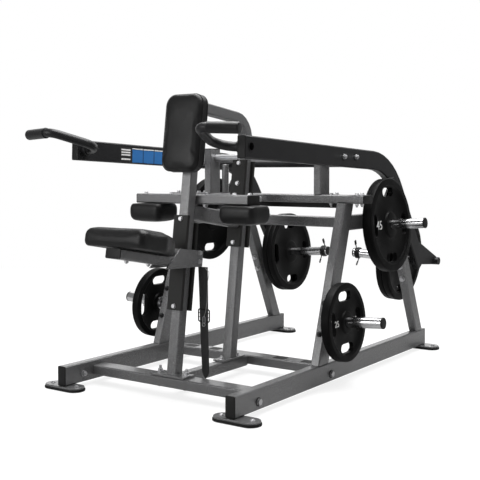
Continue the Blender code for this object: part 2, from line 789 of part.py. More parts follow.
def gusset(sign):
    """The plate outside an arm's bend that carries the outer horn."""
    low, high = -ARM_HEIGHT / 2 + 0.002, -ARM_HEIGHT / 2 + 0.017
    seam = [bend_point(low, 30)] + [bend_point(high, at) for at in (32, 40, 50)] + [bend_point(low, 50)]
    y, z = OUTER_HORN
    outline = seam + [(y + 0.055, z - 0.030)] + circle(OUTER_HORN, GUSSET_NOSE, 6, -40, -180)
    inner = BASE_WIDTH / 2 + GUSSET_CLEAR
    plate = slab("gusset", outline, *span(sign, inner, inner + BRACKET_THICK), "arm_paint")
    spacer = slab("spacer", seam, *span(sign, ARM_OUTER - 0.001, inner + 0.001), "arm_paint")
    return weld(plate, spacer)


def tail_bracket(sign):
    """The plate behind an arm's tail that carries the tail bar."""
    outline = rounded_outline(((1.690, 0.600), (2.014, 0.468), (2.014, 0.426), (1.690, 0.452)), 0.008, 3)
    low = ARM_MIDDLE - BRACKET_THICK / 2
    return slab("bracket", outline, *span(sign, low, low + BRACKET_THICK), "arm_paint")


def press_arm(side, sign):
    """One arm with its gusset, its tail bracket and the handle's hole."""
    arm = arm_tube(side, sign)
    weld(arm, gusset(sign))
    weld(arm, tail_bracket(sign))
    tail_bar = slab("tail_bar", circle(TAIL_BAR, TAIL_BAR_RADIUS, 16),
                    *span(sign, ARM_INNER, ARM_OUTER + 0.008), "arm_paint")
    weld(arm, tail_bar)
    return bore_x(arm, HANDLE_AXIS, HANDLE_RADIUS + HANDLE_FIT, *span(sign, 0.40, 0.50), HANDLE_STEPS)


def handle(side, sign):
    """A bent tube handle with a thicker grip, held in the arm's hole."""
    outer = (ARM_OUTER + 0.002, *HANDLE_AXIS)
    corners = [outer, (HANDLE_ELBOW, *HANDLE_AXIS), HANDLE_BEND, HANDLE_END]
    corners = [(sign * x, y, z) for x, y, z in corners]
    path = bent_path(corners[:3], 0.035, 5)[:-1] + bent_path(corners[1:], 0.042, 4)[1:]
    radii = [HANDLE_RADIUS] * (len(path) - 1)
    way = (path[-1] - path[-2]).normalized()
    grip = path[-2] + way * 0.004
    path = path[:-1] + [grip, grip + way * 0.002, path[-1] - way * 0.003, path[-1]]
    radii += [HANDLE_RADIUS, GRIP_RADIUS, GRIP_RADIUS, GRIP_RADIUS - 0.002]
    return round_bar("handle_" + side, path, radii, "arm_paint", HANDLE_STEPS, HANDLE_RADIUS - TUBE_WALL)


def build_arms():
    """Both arms, the tube between them and the handles."""
    for side, sign in SIDES:
        press_arm(side, sign)
        handle(side, sign)
    reach = ARM_INNER - GAP
    ring = ((-reach, TORQUE_TUBE_RADIUS), (reach, TORQUE_TUBE_RADIUS),
            (reach, TORQUE_TUBE_RADIUS - TUBE_WALL), (-reach, TORQUE_TUBE_RADIUS - TUBE_WALL))
    turned("torque_tube", ring, (TORQUE_TUBE_Y, TORQUE_TUBE_Z), "arm_paint", 20, True)


# Loading horns and plates

OUTER_MIDDLE = OUTER_PLATE_X + PLATE_THICK / 2
STORED_MIDDLE = STORED_PLATE_X + SMALL_PLATE_THICK / 2
INNER_MIDDLE = INNER_PLATE_X - INNER_PLATE_THICK - GAP / 2


def tilt(thing, sign, middle_x, centre, rise):
    """Turn what is on a horn so that its outer end rises by an angle.

    The horn's axis keeps its height where it passes through its plates.
    """
    middle = Vector((sign * middle_x, *centre))
    turn = Matrix.Rotation(-sign * rise, 4, "Y")
    thing.data.transform(Matrix.Translation(middle) @ turn @ Matrix.Translation(-middle))
    return thing


def horn(name, sign, root, tip, collar_x, seat):
    """A tube horn with a stop collar, mitred where its root meets a flat face."""
    middle_x, centre, rise = seat
    toward = 1 if tip > root else -1
    start = root - toward * HORN_ROOT_SPARE
    profile = [(start, HORN_RADIUS), (collar_x - toward * HORN_SPAN, HORN_RADIUS),
               (collar_x - toward * HORN_SPAN, COLLAR_RADIUS), (collar_x, COLLAR_RADIUS),
               (collar_x, HORN_RADIUS), (tip, HORN_RADIUS), (tip, HORN_RADIUS - HORN_WALL),
               (start, HORN_RADIUS - HORN_WALL)]
    profile = [(sign * x, radius) for x, radius in profile]
    tube = tilt(turned(name, profile, centre, "chrome", HORN_STEPS, True), sign, middle_x, centre, rise)
    beyond = root - toward * HORN_ROOT_SPARE * 3
    return cut(tube, slab("cutter", box_outline(centre, 0.05, 0.05), *span(sign, root, beyond), "zinc"))


def weight_plate(name, sign, inner_x, diameter, thickness, seat):
    """A rimmed disc with a hub and four grip holes, standing on a horn."""
    middle_x, centre, rise = seat
    middle = inner_x + thickness / 2
    radius = diameter / 2
    rim, web, hub = radius * RIM_SHARE, thickness * 0.22, radius * HUB_SHARE
    half = thickness / 2
    side_profile = [(half, PLATE_BORE), (half, hub), (web, hub + 0.008), (web, rim - 0.012),
                    (half, rim), (half, radius)]
    profile = side_profile + [(-x, r) for x, r in reversed(side_profile)]
    profile = [(sign * (middle + x), r) for x, r in profile]
    plate = turned(name, profile, centre, "plate_paint", PLATE_STEPS, True)
    grip_radius = rim - GRIP_FROM_RIM
    hole = stadium((0, 0), *GRIP_HOLE, 4)
    for quarter in range(4):
        turn = math.radians(90 * quarter)
        spot = (centre[0] + grip_radius * math.cos(turn), centre[1] + grip_radius * math.sin(turn))
        outline = [(spot[0] - u * math.sin(turn) + v * math.cos(turn),
                    spot[1] + u * math.cos(turn) + v * math.sin(turn)) for u, v in hole]
        cut(plate, slab("cutter", outline, *span(sign, middle - half * 2, middle + half * 2), "zinc"))
    return tilt(plate, sign, middle_x, centre, rise)


def spring_clip(side, sign):
    """A coil of spring wire round a horn, with its two ends as finger grips."""
    radius = (HORN_RADIUS + CLIP_WIRE) / math.cos(math.pi / CLIP_STEPS) + GAP
    pitch = CLIP_WIRE * 2.25
    count = CLIP_TURNS * CLIP_STEPS + 5
    y, z = INNER_HORN
    path = []
    for step in range(count + 1):
        turn = math.radians(70) + 2 * math.pi * step / CLIP_STEPS
        x = CLIP_X + pitch * step / CLIP_STEPS
        path.append(Vector((sign * x, y + radius * math.cos(turn), z + radius * math.sin(turn))))
    way_in = (path[0] - path[1]).normalized()
    way_out = (path[-1] - path[-2]).normalized()
    path = [path[0] + way_in * CLIP_LEG] + path + [path[-1] + way_out * CLIP_LEG]
    clip = round_bar("spring_clip_" + side, path, [CLIP_WIRE] * len(path), "arm_paint", 6)
    return tilt(clip, sign, INNER_MIDDLE, INNER_HORN, -INNER_HORN_TILT)


def build_weights():
    """Horns, plates and clips on both sides."""
    small = (SMALL_PLATE_DIAMETER, SMALL_PLATE_THICK)
    big = (PLATE_DIAMETER, PLATE_THICK)
    thin = (PLATE_DIAMETER, INNER_PLATE_THICK)
    outer = (OUTER_MIDDLE, OUTER_HORN, OUTER_HORN_TILT)
    inner = (INNER_MIDDLE, INNER_HORN, -INNER_HORN_TILT)
    store = (STORED_MIDDLE, STORE_HORN, STORE_HORN_TILT)
    for side, sign in SIDES:
        root = BASE_WIDTH / 2 + GUSSET_CLEAR + BRACKET_THICK + GAP
        horn("outer_horn_" + side, sign, root, OUTER_HORN_TIP, OUTER_PLATE_X - GAP, outer)
        weight_plate("outer_plate_" + side, sign, OUTER_PLATE_X, *big, outer)
        root = ARM_INNER - GAP
        horn("inner_horn_" + side, sign, root, INNER_HORN_TIP, INNER_PLATE_X + GAP, inner)
        weight_plate("inner_plate_1_" + side, sign, INNER_PLATE_X - INNER_PLATE_THICK, *thin, inner)
        second = INNER_PLATE_X - 2 * INNER_PLATE_THICK - GAP
        weight_plate("inner_plate_2_" + side, sign, second, *thin, inner)
        spring_clip(side, sign)
        root = BASE_WIDTH / 2 + GAP
        horn("storage_horn_" + side, sign, root, STORE_HORN_TIP, STORED_PLATE_X - GAP, store)
        weight_plate("stored_plate_" + side, sign, STORED_PLATE_X, *small, store)


# Seat

SEAT_ALONG = Vector((0, math.cos(SEAT_TILT), -math.sin(SEAT_TILT)))
SEAT_UP = Vector((0, math.sin(SEAT_TILT), math.cos(SEAT_TILT)))
SEAT_BASE = Vector((0, 0, SEAT_UNDER_Z))


def seat_pad():
    """The tapered seat cushion, tilted up at its front."""
    middle = (SEAT_FRONT_Y + SEAT_REAR_Y) / 2
    front, rear = SEAT_FRONT_Y - middle, SEAT_REAR_Y - middle
    shoulder = SEAT_SHOULDER_Y - middle
    corners = ((-SEAT_HALF_FRONT, front), (SEAT_HALF_FRONT, front), (SEAT_HALF_FRONT, shoulder),
               (SEAT_HALF_REAR, rear), (-SEAT_HALF_REAR, rear), (-SEAT_HALF_FRONT, shoulder))

    def place(u, v, rise):
        return SEAT_BASE + Vector((u, 0, 0)) + SEAT_ALONG * (v + middle) + SEAT_UP * rise

    return cushion("seat_pad", rounded_outline(corners, 0.030, 4), SEAT_THICK, place)


def seat_beam():
    """The box beam that carries the seat cushion, and its front cap."""
    drop = SEAT_UP * (SEAT_BEAM_HEIGHT / 2 + GAP)
    start = SEAT_BASE + SEAT_ALONG * SEAT_BEAM_FRONT - drop
    end = where_leaning(SEAT_BASE - drop, SEAT_ALONG, carriage_front_y, -GAP)
    return box_tube("seat_beam", (start, end), (SEAT_BEAM_WIDTH, SEAT_BEAM_HEIGHT), cut_end=LEAN_OUT)


def carriage_front_y(z):
    """Y of the carriage's front face at a height."""
    return seat_post_y(z) - (STRIP_THICK + 2 * GAP + CARRIAGE_FIT + CARRIAGE_WALL) / math.cos(POST_LEAN)


def leaning_block(low_offset, high_offset, half_width, low_z, high_z):
    """A cutter that leans with the posts, between two offsets from the seat post's front face."""
    middle = (low_offset + high_offset) / 2
    path = [(0, seat_post_y(z) + middle, z) for z in (low_z, high_z)]
    depth = (high_offset - low_offset) * math.cos(POST_LEAN)
    return bar("cutter", path, rounded_rectangle(2 * half_width, depth, GAP / 2, 1), "zinc",
               cut_start=(0, 0, 1), cut_end=(0, 0, 1))


def seat_carriage():
    """Two cheeks and two cross walls that slide on the seat post's strips."""
    half = STRIP_WIDTH / 2 + CARRIAGE_FIT
    outer = half + CARRIAGE_WALL
    block = slab("seat_carriage", CARRIAGE_SIDE, -outer, outer, "frame_paint")
    lean = math.cos(POST_LEAN)
    reach = (STRIP_THICK + 2 * GAP + CARRIAGE_FIT) / lean
    wall = CARRIAGE_WALL / lean
    cut(block, leaning_block(-reach, POST_REACH + reach, half, 0.48, 0.68))
    cut(block, leaning_block(-0.200, -reach - wall, half, 0.48, 0.68))
    cut(block, leaning_block(POST_REACH + reach + wall, 0.200, half, 0.48, 0.68))
    centre, way = pin_line()
    hole = round_bar("cutter", (centre - way * 0.03, centre + way * 0.06), (PIN_RADIUS + RUNNING_FIT,) * 2,
                     "zinc", HORN_STEPS)
    return cut(block, hole)


def pin_line():
    """Where the pull pin crosses the carriage's rear wall, and its direction."""
    lean = math.cos(POST_LEAN)
    reach = (STRIP_THICK + 2 * GAP + CARRIAGE_FIT) / lean
    centre = Vector((0, seat_post_y(PIN_Z) + POST_REACH + reach, PIN_Z))
    return centre, LEAN_OUT


def pull_pin():
    """The sprung pin with its round knob behind the carriage."""
    centre, way = pin_line()
    knob = CARRIAGE_WALL + PIN_THROW
    lengths = ((0.0008, PIN_RADIUS), (knob, PIN_RADIUS), (knob + 0.0005, KNOB_RADIUS),
               (knob + 0.036, KNOB_RADIUS), (knob + 0.040, KNOB_RADIUS - 0.004))
    path = [centre + way * length for length, radius in lengths]
    return round_bar("pull_pin", path, [radius for length, radius in lengths], "slide_plastic", HORN_STEPS)


def cheek_under(y):
    """Height of the carriage's lower edge, from which the strap hangs."""
    (front_y, front_z), (rear_y, rear_z) = CARRIAGE_SIDE[:2]
    return front_z + (y - front_y) * (rear_z - front_z) / (rear_y - front_y)


def seat_belt():
    """The webbing strap that hangs behind the carriage, pointed at its end."""
    half = BELT_WIDTH / 2
    low, high = BELT_LOW, cheek_under(BELT_Y + BELT_THICK / 2) - GAP
    outline = ((-half, high), (-half, low + half), (-half * 0.55, low + half * 0.3), (0, low),
               (half * 0.55, low + half * 0.3), (half, low + half), (half, high))
    mesh_data = bmesh.new()
    rings = []
    for y in (BELT_Y - BELT_THICK / 2, BELT_Y + BELT_THICK / 2):
        rings.append([(BELT_X + x, y, z) for x, z in outline])
    made = join_rings(mesh_data, rings)
    mesh_data.faces.new(made[0])
    mesh_data.faces.new(made[1])
    return finish("seat_belt", mesh_data, "webbing")


def box_outline(centre, half_x, half_y):
    """The corners of a rectangle about a centre."""
    x, y = centre
    return [(x - half_x, y - half_y), (x + half_x, y - half_y), (x + half_x, y + half_y), (x - half_x, y + half_y)]


def belt_buckle():
    """A flat metal buckle with a slot, round the strap."""
    low, high = BUCKLE_Z
    centre = (BELT_X, BELT_Y)
    slot_x, slot_y = BELT_WIDTH / 2 + 0.001, BELT_THICK / 2 + 0.0006
    buckle = slab("belt_buckle", box_outline(centre, slot_x + 0.006, slot_y + 0.003), low, high, "zinc", "Z")
    return cut(buckle, slab("cutter", box_outline(centre, slot_x, slot_y), low - 0.01, high + 0.01, "zinc", "Z"))


def build_seat():
    """The seat, its carriage and the strap behind it."""
    seat_pad()
    seat_beam()
    seat_carriage()
    pull_pin()
    seat_belt()
    belt_buckle()


# Pads

def chest_pad():
    """The tall pad on the front of the seat post."""
    width, thickness = CHEST_PAD
    low, high = CHEST_PAD_Z
    middle_z = (low + high) / 2
    height = (high - low) / math.cos(POST_LEAN) - 2 * thickness / 2 * math.tan(POST_LEAN)
    outline = rounded_rectangle(width, height, CHEST_PAD_CORNER, 5)
    back = Vector((0, seat_post_y(middle_z), middle_z)) - LEAN_OUT * GAP + LEAN_UP * thickness / 2 * math.tan(POST_LEAN)

    def place(u, v, rise):
        return back + Vector((u, 0, 0)) + LEAN_UP * v - LEAN_OUT * rise

    return cushion("chest_pad", outline, thickness, place)


def thigh_pad(side, sign):
    """A block pad under the thigh bar, padded downward."""
    width, depth, thickness = THIGH_PAD
    outline = rounded_rectangle(width, depth, THIGH_PAD_CORNER, 4)

    def place(u, v, rise):
        return Vector((sign * THIGH_PAD_X + u, THIGH_PAD_Y + v, THIGH_BAR_Z - GAP - rise))

    return cushion("thigh_pad_" + side, outline, thickness, place)


def build_pads():
    """The chest pad and both thigh pads."""
    chest_pad()
    for side, sign in SIDES:
        thigh_pad(side, sign)


# Placing

def axis_points():
    """The point each moving group turns or slides about, by node name."""
    points = {}
    hinge = (0, *PIVOT)
    seat = (0, seat_post_y(SEAT_UNDER_Z), SEAT_UNDER_Z)
    for name in ("seat_pad", "seat_beam", "seat_carriage", "seat_belt", "belt_buckle"):
        points[name] = seat
    points["pull_pin"] = tuple(pin_line()[0])
    points["torque_tube"] = hinge
    for side, sign in SIDES:
        for name in ("press_arm_", "arm_bearing_", "outer_horn_", "inner_horn_"):
            points[name + side] = hinge
        points["handle_" + side] = (sign * ARM_MIDDLE, *HANDLE_AXIS)
        points["outer_plate_" + side] = (sign * OUTER_MIDDLE, *OUTER_HORN)
        points["stored_plate_" + side] = (sign * STORED_MIDDLE, *STORE_HORN)
        for name in ("inner_plate_1_", "inner_plate_2_", "spring_clip_"):
            points[name + side] = (sign * INNER_MIDDLE, *INNER_HORN)
    return points


def place_objects():
    """Give each object its own origin and put the machine over the world origin."""
    pieces = [thing for thing in bpy.data.objects if thing.type == "MESH"]
    corners = [vertex.co for thing in pieces for vertex in thing.data.vertices]
    low = Vector([min(corner[axis] for corner in corners) for axis in range(3)])
    high = Vector([max(corner[axis] for corner in corners) for axis in range(3)])
    middle = Vector(((low.x + high.x) / 2, (low.y + high.y) / 2, low.z))
    points = axis_points()
    for thing in pieces:
        own = thing.data.vertices
        centre = sum((vertex.co for vertex in own), Vector()) / len(own)
        origin = Vector(points.get(thing.name, centre))
        for vertex in own:
            vertex.co -= origin
        thing.location = origin - middle
    return middle


clear_scene()
MATERIALS = make_materials()
build_base()
build_posts()
build_side_frames()
build_pivot()
build_arms()
build_weights()
build_seat()
build_pads()
SHIFT = place_objects()
print("origin moved by", tuple(round(value, 5) for value in SHIFT))
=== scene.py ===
# %% [markdown]
# # Seated dip machine: finishes and fine shapes
#
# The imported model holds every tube, plate and pad at its real size and on its
# real joint.  This notebook gives that frame its looks.  Hard metal keeps its
# shape and gets softened edges and paint, the plates and horns are turned
# again with fine profiles, and the four pads are puffed up as real upholstery.

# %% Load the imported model
import json
import math
from contextlib import contextmanager

import bmesh
import bpy
import numpy as np
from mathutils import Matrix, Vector

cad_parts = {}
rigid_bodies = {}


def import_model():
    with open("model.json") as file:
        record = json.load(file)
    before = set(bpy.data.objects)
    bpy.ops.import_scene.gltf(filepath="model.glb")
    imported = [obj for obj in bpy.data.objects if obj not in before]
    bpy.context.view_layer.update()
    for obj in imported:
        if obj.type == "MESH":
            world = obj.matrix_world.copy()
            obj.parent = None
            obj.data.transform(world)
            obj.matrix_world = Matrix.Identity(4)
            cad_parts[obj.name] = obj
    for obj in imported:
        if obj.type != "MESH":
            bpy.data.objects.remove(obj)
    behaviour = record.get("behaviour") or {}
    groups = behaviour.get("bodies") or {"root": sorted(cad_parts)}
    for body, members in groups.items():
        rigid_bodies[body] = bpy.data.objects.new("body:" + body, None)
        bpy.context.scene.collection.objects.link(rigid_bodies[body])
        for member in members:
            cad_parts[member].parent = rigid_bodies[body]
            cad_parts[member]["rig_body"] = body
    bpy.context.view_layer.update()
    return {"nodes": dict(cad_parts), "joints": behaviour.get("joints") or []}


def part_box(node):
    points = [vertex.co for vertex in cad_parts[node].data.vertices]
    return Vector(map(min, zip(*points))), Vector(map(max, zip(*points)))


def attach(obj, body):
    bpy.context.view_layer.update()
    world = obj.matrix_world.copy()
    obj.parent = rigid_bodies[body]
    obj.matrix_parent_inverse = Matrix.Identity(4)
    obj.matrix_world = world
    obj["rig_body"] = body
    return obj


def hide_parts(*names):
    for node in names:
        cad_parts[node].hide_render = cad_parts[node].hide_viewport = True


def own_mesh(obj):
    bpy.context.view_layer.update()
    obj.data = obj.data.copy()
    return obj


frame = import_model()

SIDES = (("right", 1.0), ("left", -1.0))

# %% [markdown]
# ## Where things are
#
# Places below are measured as on the shop floor: Y from the front ends of the
# floor rails and Z from the underside of the steel foot plates.  One helper
# turns such a place into the model's frame, which starts at the middle of the
# machine's underside.

# %% Measure from the rails and the feet
def box_of(node):
    """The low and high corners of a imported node's box, as two arrays."""
    return [np.array(corner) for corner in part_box(node)]


STEEL_FOOT = 0.0075
RAIL_LOW, RAIL_HIGH = box_of("side_rail_right")
RUBBER = box_of("foot_plate_front_right")[1][2] - STEEL_FOOT
ORIGIN = np.array((0.0, RAIL_LOW[1], RUBBER))
RAIL_FACE = RAIL_HIGH[0]
ARM_WIDTH = 0.0385
ARM_FACE = 0.4655


def at(x, y, z):
    """A place of the machine: the same numbers moved by the origin."""
    return np.array((x, y, z)) + ORIGIN


print("rubber", round(RUBBER, 4), "outer rail face", round(RAIL_FACE, 4))

# %% [markdown]
# ## Camera, light and backdrop
#
# The photo was taken from the right front corner, a little above the arms, on
# plain white.  The camera stands there.  One broad lamp hangs above, as in a
# product studio, a weaker one faces the seat end, and the white surround fills
# the rest.  The floor shows white to the camera and still takes a faint shadow.

# %% Set the camera
def linked(name, data):
    """A new object with the given data, put into the scene."""
    made = bpy.data.objects.new(name, data)
    bpy.context.scene.collection.objects.link(made)
    return made


CAMERA_PLACE = at(2.3844, -2.7167, 0.9454)
CAMERA_TURN = math.radians(34.78)
CAMERA_PITCH = math.radians(-2.49)
LENS = 66.37
FRAME_RISE = -0.061

camera_data = bpy.data.cameras.new("camera")
camera_data.lens = LENS
camera_data.shift_y = FRAME_RISE
camera_data.clip_start = 0.05
camera = linked("camera", camera_data)
camera.location = CAMERA_PLACE
camera.rotation_euler = (math.pi / 2 + CAMERA_PITCH, 0.0, CAMERA_TURN)
bpy.context.scene.camera = camera
bpy.context.scene.view_settings.view_transform = "Standard"
print("camera at", [round(float(value), 3) for value in CAMERA_PLACE])


# %% Hang the lamps
def lamp(name, place, target, size, power):
    """A square area lamp at a place, turned to face a target."""
    data = bpy.data.lights.new(name, "AREA")
    data.shape = "RECTANGLE"
    data.size, data.size_y = size
    data.energy = power
    made = linked(name, data)
    made.location = place
    made.rotation_euler = (Vector(target) - Vector(place)).to_track_quat("-Z", "Y").to_euler()


lamp("top_lamp", (0.2, 0.1, 3.4), (0, 0, 0.4), (3.0, 3.0), 210)
lamp("front_lamp", (-1.6, -4.2, 1.7), (0, 0, 0.6), (2.4, 2.0), 52)
lamp("side_lamp", (4.2, 0.6, 1.6), (0, 0, 0.6), (1.6, 2.4), 8)
print("lamps", len(bpy.data.lights))


# %% Paint the surround
def shown_white(tree, links, grey):
    """White where the camera looks, straight or through glass, and grey light elsewhere."""
    path = tree.nodes.new("ShaderNodeLightPath")
    either = tree.nodes.new("ShaderNodeMath")
    either.operation = "MAXIMUM"
    links.new(path.outputs["Is Camera Ray"], either.inputs[0])
    links.new(path.outputs["Is Transmission Ray"], either.inputs[1])
    colour = tree.nodes.new("ShaderNodeMix")
    colour.data_type = "RGBA"
    colour.inputs["A"].default_value = (grey, grey, grey, 1)
    colour.inputs["B"].default_value = (1, 1, 1, 1)
    links.new(either.outputs[0], colour.inputs["Factor"])
    return colour.outputs["Result"]


world = bpy.data.worlds.new("surround")
world.use_nodes = True
bpy.context.scene.world = world
world.node_tree.links.new(
    shown_white(world.node_tree, world.node_tree.links, 0.22),
    world.node_tree.nodes["Background"].inputs["Color"])
print("surround", world.name)


# %% Lay the floor
def sheet(name, corners, grey, glow):
    """A flat sheet of the stage in a dull grey that also glows, and its shader."""
    mesh = bpy.data.meshes.new(name)
    mesh.from_pydata(corners, [], [(0, 1, 2, 3)])
    paint = bpy.data.materials.new(name + "_paint")
    paint.use_nodes = True
    shader = paint.node_tree.nodes["Principled BSDF"]
    shader.inputs["Base Color"].default_value = (grey, grey, grey, 1)
    shader.inputs["Specular IOR Level"].default_value = 0.0
    shader.inputs["Emission Strength"].default_value = glow
    mesh.materials.append(paint)
    return linked(name, mesh), shader


FLOOR_HALF = 15.0
FLOOR_DROP = 0.0008
FLOOR_GREY = 0.26
FLOOR_GLOW = 0.80
floor_corners = [(x * FLOOR_HALF, y * FLOOR_HALF, 0) for x, y in ((-1, -1), (1, -1), (1, 1), (-1, 1))]
floor, shader = sheet("floor", floor_corners, FLOOR_GREY, FLOOR_GLOW)
floor.location.z = -FLOOR_DROP
shader.inputs["Roughness"].default_value = 0.9
tree = floor.active_material.node_tree
tree.links.new(shown_white(tree, tree.links, 0.25), shader.inputs["Emission Color"])
print("floor", 2 * FLOOR_HALF, "m wide")

# %% [markdown]
# A white screen stands behind the machine, square to the camera.  It is what
# the level top faces mirror at the camera's low angle, and so they shine
# nearly white, while the faces that look to the sides stay dark.

# %% Raise the screen
SCREEN = (9.0, 4.6, 4.4)
away = np.array((-math.sin(CAMERA_TURN), math.cos(CAMERA_TURN), 0))
sideways = np.array((math.cos(CAMERA_TURN), math.sin(CAMERA_TURN), 0))
wide, tall, far = SCREEN
corners = [away * far + sideways * wide / 2 * side + np.array((0, 0, tall)) * level
           for side, level in ((-1, 0), (1, 0), (1, 1), (-1, 1))]
screen, shader = sheet("screen", [tuple(corner) for corner in corners], 0.0, 1.0)
shader.inputs["Emission Color"].default_value = (1, 1, 1, 1)
print("screen", wide, "by", tall, "m")

# %% [markdown]
# ## Finishes
#
# Each finish is one Principled shader.  Its plain numbers sit on the sockets,
# and noise in object coordinates adds what paint, rubber and vinyl show close
# up: flakes and orange peel, moulded grain, leather cells, a woven rib.


# %% A plain finish and its surface grain
def finish(name, colour, roughness, metallic=0.0, specular=0.5, **more):
    """A Principled material with its plain numbers on the sockets."""
    made = bpy.data.materials.new(name)
    made.use_nodes = True
    values = {"Base Color": (*colour, 1), "Roughness": roughness, "Metallic": metallic,
              "Specular IOR Level": specular}
    values.update({socket.replace("_", " "): value for socket, value in more.items()})
    for socket, value in values.items():
        made.node_tree.nodes["Principled BSDF"].inputs[socket].default_value = value
    return made


def texture(made, kind, scale, stretch=(1, 1, 1), **settings):
    """A texture's value on object coordinates, scaled by a Mapping node."""
    tree = made.node_tree
    place = tree.nodes.new("ShaderNodeTexCoord")
    mapping = tree.nodes.new("ShaderNodeMapping")
    mapping.inputs["Scale"].default_value = stretch
    node = tree.nodes.new("ShaderNodeTex" + kind)
    node.inputs["Scale"].default_value = scale
    for socket, value in settings.items():
        node.inputs[socket].default_value = value
    tree.links.new(place.outputs["Object"], mapping.inputs["Vector"])
    tree.links.new(mapping.outputs["Vector"], node.inputs["Vector"])
    return node.outputs["Distance" if kind == "Voronoi" else "Fac"]


def bumpy(made, height, strength, distance):
    """Join a height output to the shader's normal through a Bump node."""
    tree = made.node_tree
    bump = tree.nodes.new("ShaderNodeBump")
    bump.inputs["Strength"].default_value = strength
    bump.inputs["Distance"].default_value = distance
    tree.links.new(height, bump.inputs["Height"])
    tree.links.new(bump.outputs["Normal"], tree.nodes["Principled BSDF"].inputs["Normal"])


def shaded(made, source, socket, stops):
    """Send a texture through a colour ramp of (place, value or colour) stops to a socket."""
    tree = made.node_tree
    ramp = tree.nodes.new("ShaderNodeValToRGB")
    for place, (where, value) in enumerate(stops):
        stop = ramp.color_ramp.elements[place] if place < 2 else ramp.color_ramp.elements.new(where)
        stop.position = where
        stop.color = (*value, 1) if isinstance(value, tuple) else (value, value, value, 1)
    tree.links.new(source, ramp.inputs["Fac"])
    tree.links.new(ramp.outputs["Color"], tree.nodes["Principled BSDF"].inputs[socket])


def grained(made, kind, scale, strength, distance, stretch=(1, 1, 1), **settings):
    """Let a texture raise and sink the surface, as light shows it."""
    bumpy(made, texture(made, kind, scale, stretch, **settings), strength, distance)


def worn(made, kind, scale, stops, stretch=(1, 1, 1), **settings):
    """Let the roughness wander between its stops with a texture."""
    shaded(made, texture(made, kind, scale, stretch, **settings), "Roughness", stops)


# %% [markdown]
# The frame's grey has metal flakes that sparkle, so its colour and its bump
# both follow a very fine noise.  The arms are a satin black powder coat, whose
# orange peel is a broader, shallower bump.

# %% Paints and metals
frame_paint = finish("frame_paint", (0.12, 0.12, 0.122), 0.38, 0.55, Coat_Weight=0.7, Coat_Roughness=0.20)
flakes = texture(frame_paint, "Noise", 700, Detail=2.0)
FLAKE_GREYS = [(0.34, (0.075, 0.075, 0.077)), (0.52, (0.125, 0.125, 0.127)), (0.66, (0.42, 0.42, 0.425))]
shaded(frame_paint, flakes, "Base Color", FLAKE_GREYS)
bumpy(frame_paint, flakes, 0.6, 0.0010)

arm_paint = finish("arm_paint", (0.011, 0.011, 0.012), 0.40, 0.0, 0.35)
grained(arm_paint, "Noise", 420, 0.35, 0.0005, Detail=2.0)
worn(arm_paint, "Noise", 7, [(0.30, 0.34), (0.70, 0.47)], Detail=4.0)

chrome = finish("chrome", (0.72, 0.72, 0.73), 0.13, 1.0)
worn(chrome, "Noise", 30, [(0.35, 0.09), (0.70, 0.22)], (8, 1, 1), Detail=3.0)

zinc = finish("zinc", (0.55, 0.55, 0.56), 0.34, 1.0)
worn(zinc, "Voronoi", 240, [(0.0, 0.28), (0.9, 0.45)])

print("metals", frame_paint.name, arm_paint.name, chrome.name, zinc.name)

# %% Castings, plastics, vinyl and cloth
plate_paint = finish("plate_paint", (0.0025, 0.0025, 0.0026), 0.45, 0.0, 0.10)
grained(plate_paint, "Noise", 150, 0.5, 0.0009, Detail=5.0)
worn(plate_paint, "Noise", 11, [(0.30, 0.36), (0.72, 0.58)], Detail=6.0)

cap_plastic = finish("cap_plastic", (0.006, 0.006, 0.006), 0.48, 0.0, 0.3)
grained(cap_plastic, "Voronoi", 900, 0.3, 0.0003)

slide_plastic = finish("slide_plastic", (0.012, 0.012, 0.011), 0.52, 0.0, 0.35)
grained(slide_plastic, "Noise", 90, 0.3, 0.0006, (6, 6, 0.4), Detail=3.0)

rubber = finish("rubber", (0.005, 0.005, 0.005), 0.68, 0.0, 0.3)
grained(rubber, "Voronoi", 420, 0.6, 0.0008)

vinyl = finish("vinyl", (0.0045, 0.0045, 0.0047), 0.36, 0.0, 0.32, Sheen_Weight=0.02)
grained(vinyl, "Voronoi", 620, 0.35, 0.0005)
worn(vinyl, "Noise", 6, [(0.30, 0.33), (0.70, 0.48)], Detail=5.0)

webbing = finish("webbing", (0.020, 0.020, 0.021), 0.82, Sheen_Weight=0.3)
grained(webbing, "Wave", 420, 0.7, 0.0008, (0.4, 0.4, 1.0), Distortion=1.5)

number_paint = finish("number_paint", (0.78, 0.78, 0.77), 0.5)
CHIPPED_WHITES = [(0.32, (0.45, 0.45, 0.44)), (0.46, (0.80, 0.80, 0.79))]
shaded(number_paint, texture(number_paint, "Noise", 320, Detail=3.0), "Base Color", CHIPPED_WHITES)
panel_blue = finish("panel_blue", (0.022, 0.150, 0.42), 0.42)
panel_black = finish("panel_black", (0.012, 0.012, 0.013), 0.42)
print("materials", len(bpy.data.materials))

# %% [markdown]
# ## From arrays to meshes
#
# Every new shape is a grid of points: rows along the piece, columns round it.
# One helper turns grids into a mesh, closes doubled points and points the faces
# outwards.  Rows that shrink to one point close an end.


# %% Grids to meshes
def grid_faces(rows, columns, wrap=True):
    """Four-sided faces between neighbouring rows and columns of a grid."""
    row = np.arange(rows - 1)[:, None]
    column = np.arange(columns if wrap else columns - 1)[None, :]
    after = (column + 1) % columns
    first = row * columns + column
    second = row * columns + after
    return np.stack((first, second, second + columns, first + columns), axis=-1).reshape(-1, 4)


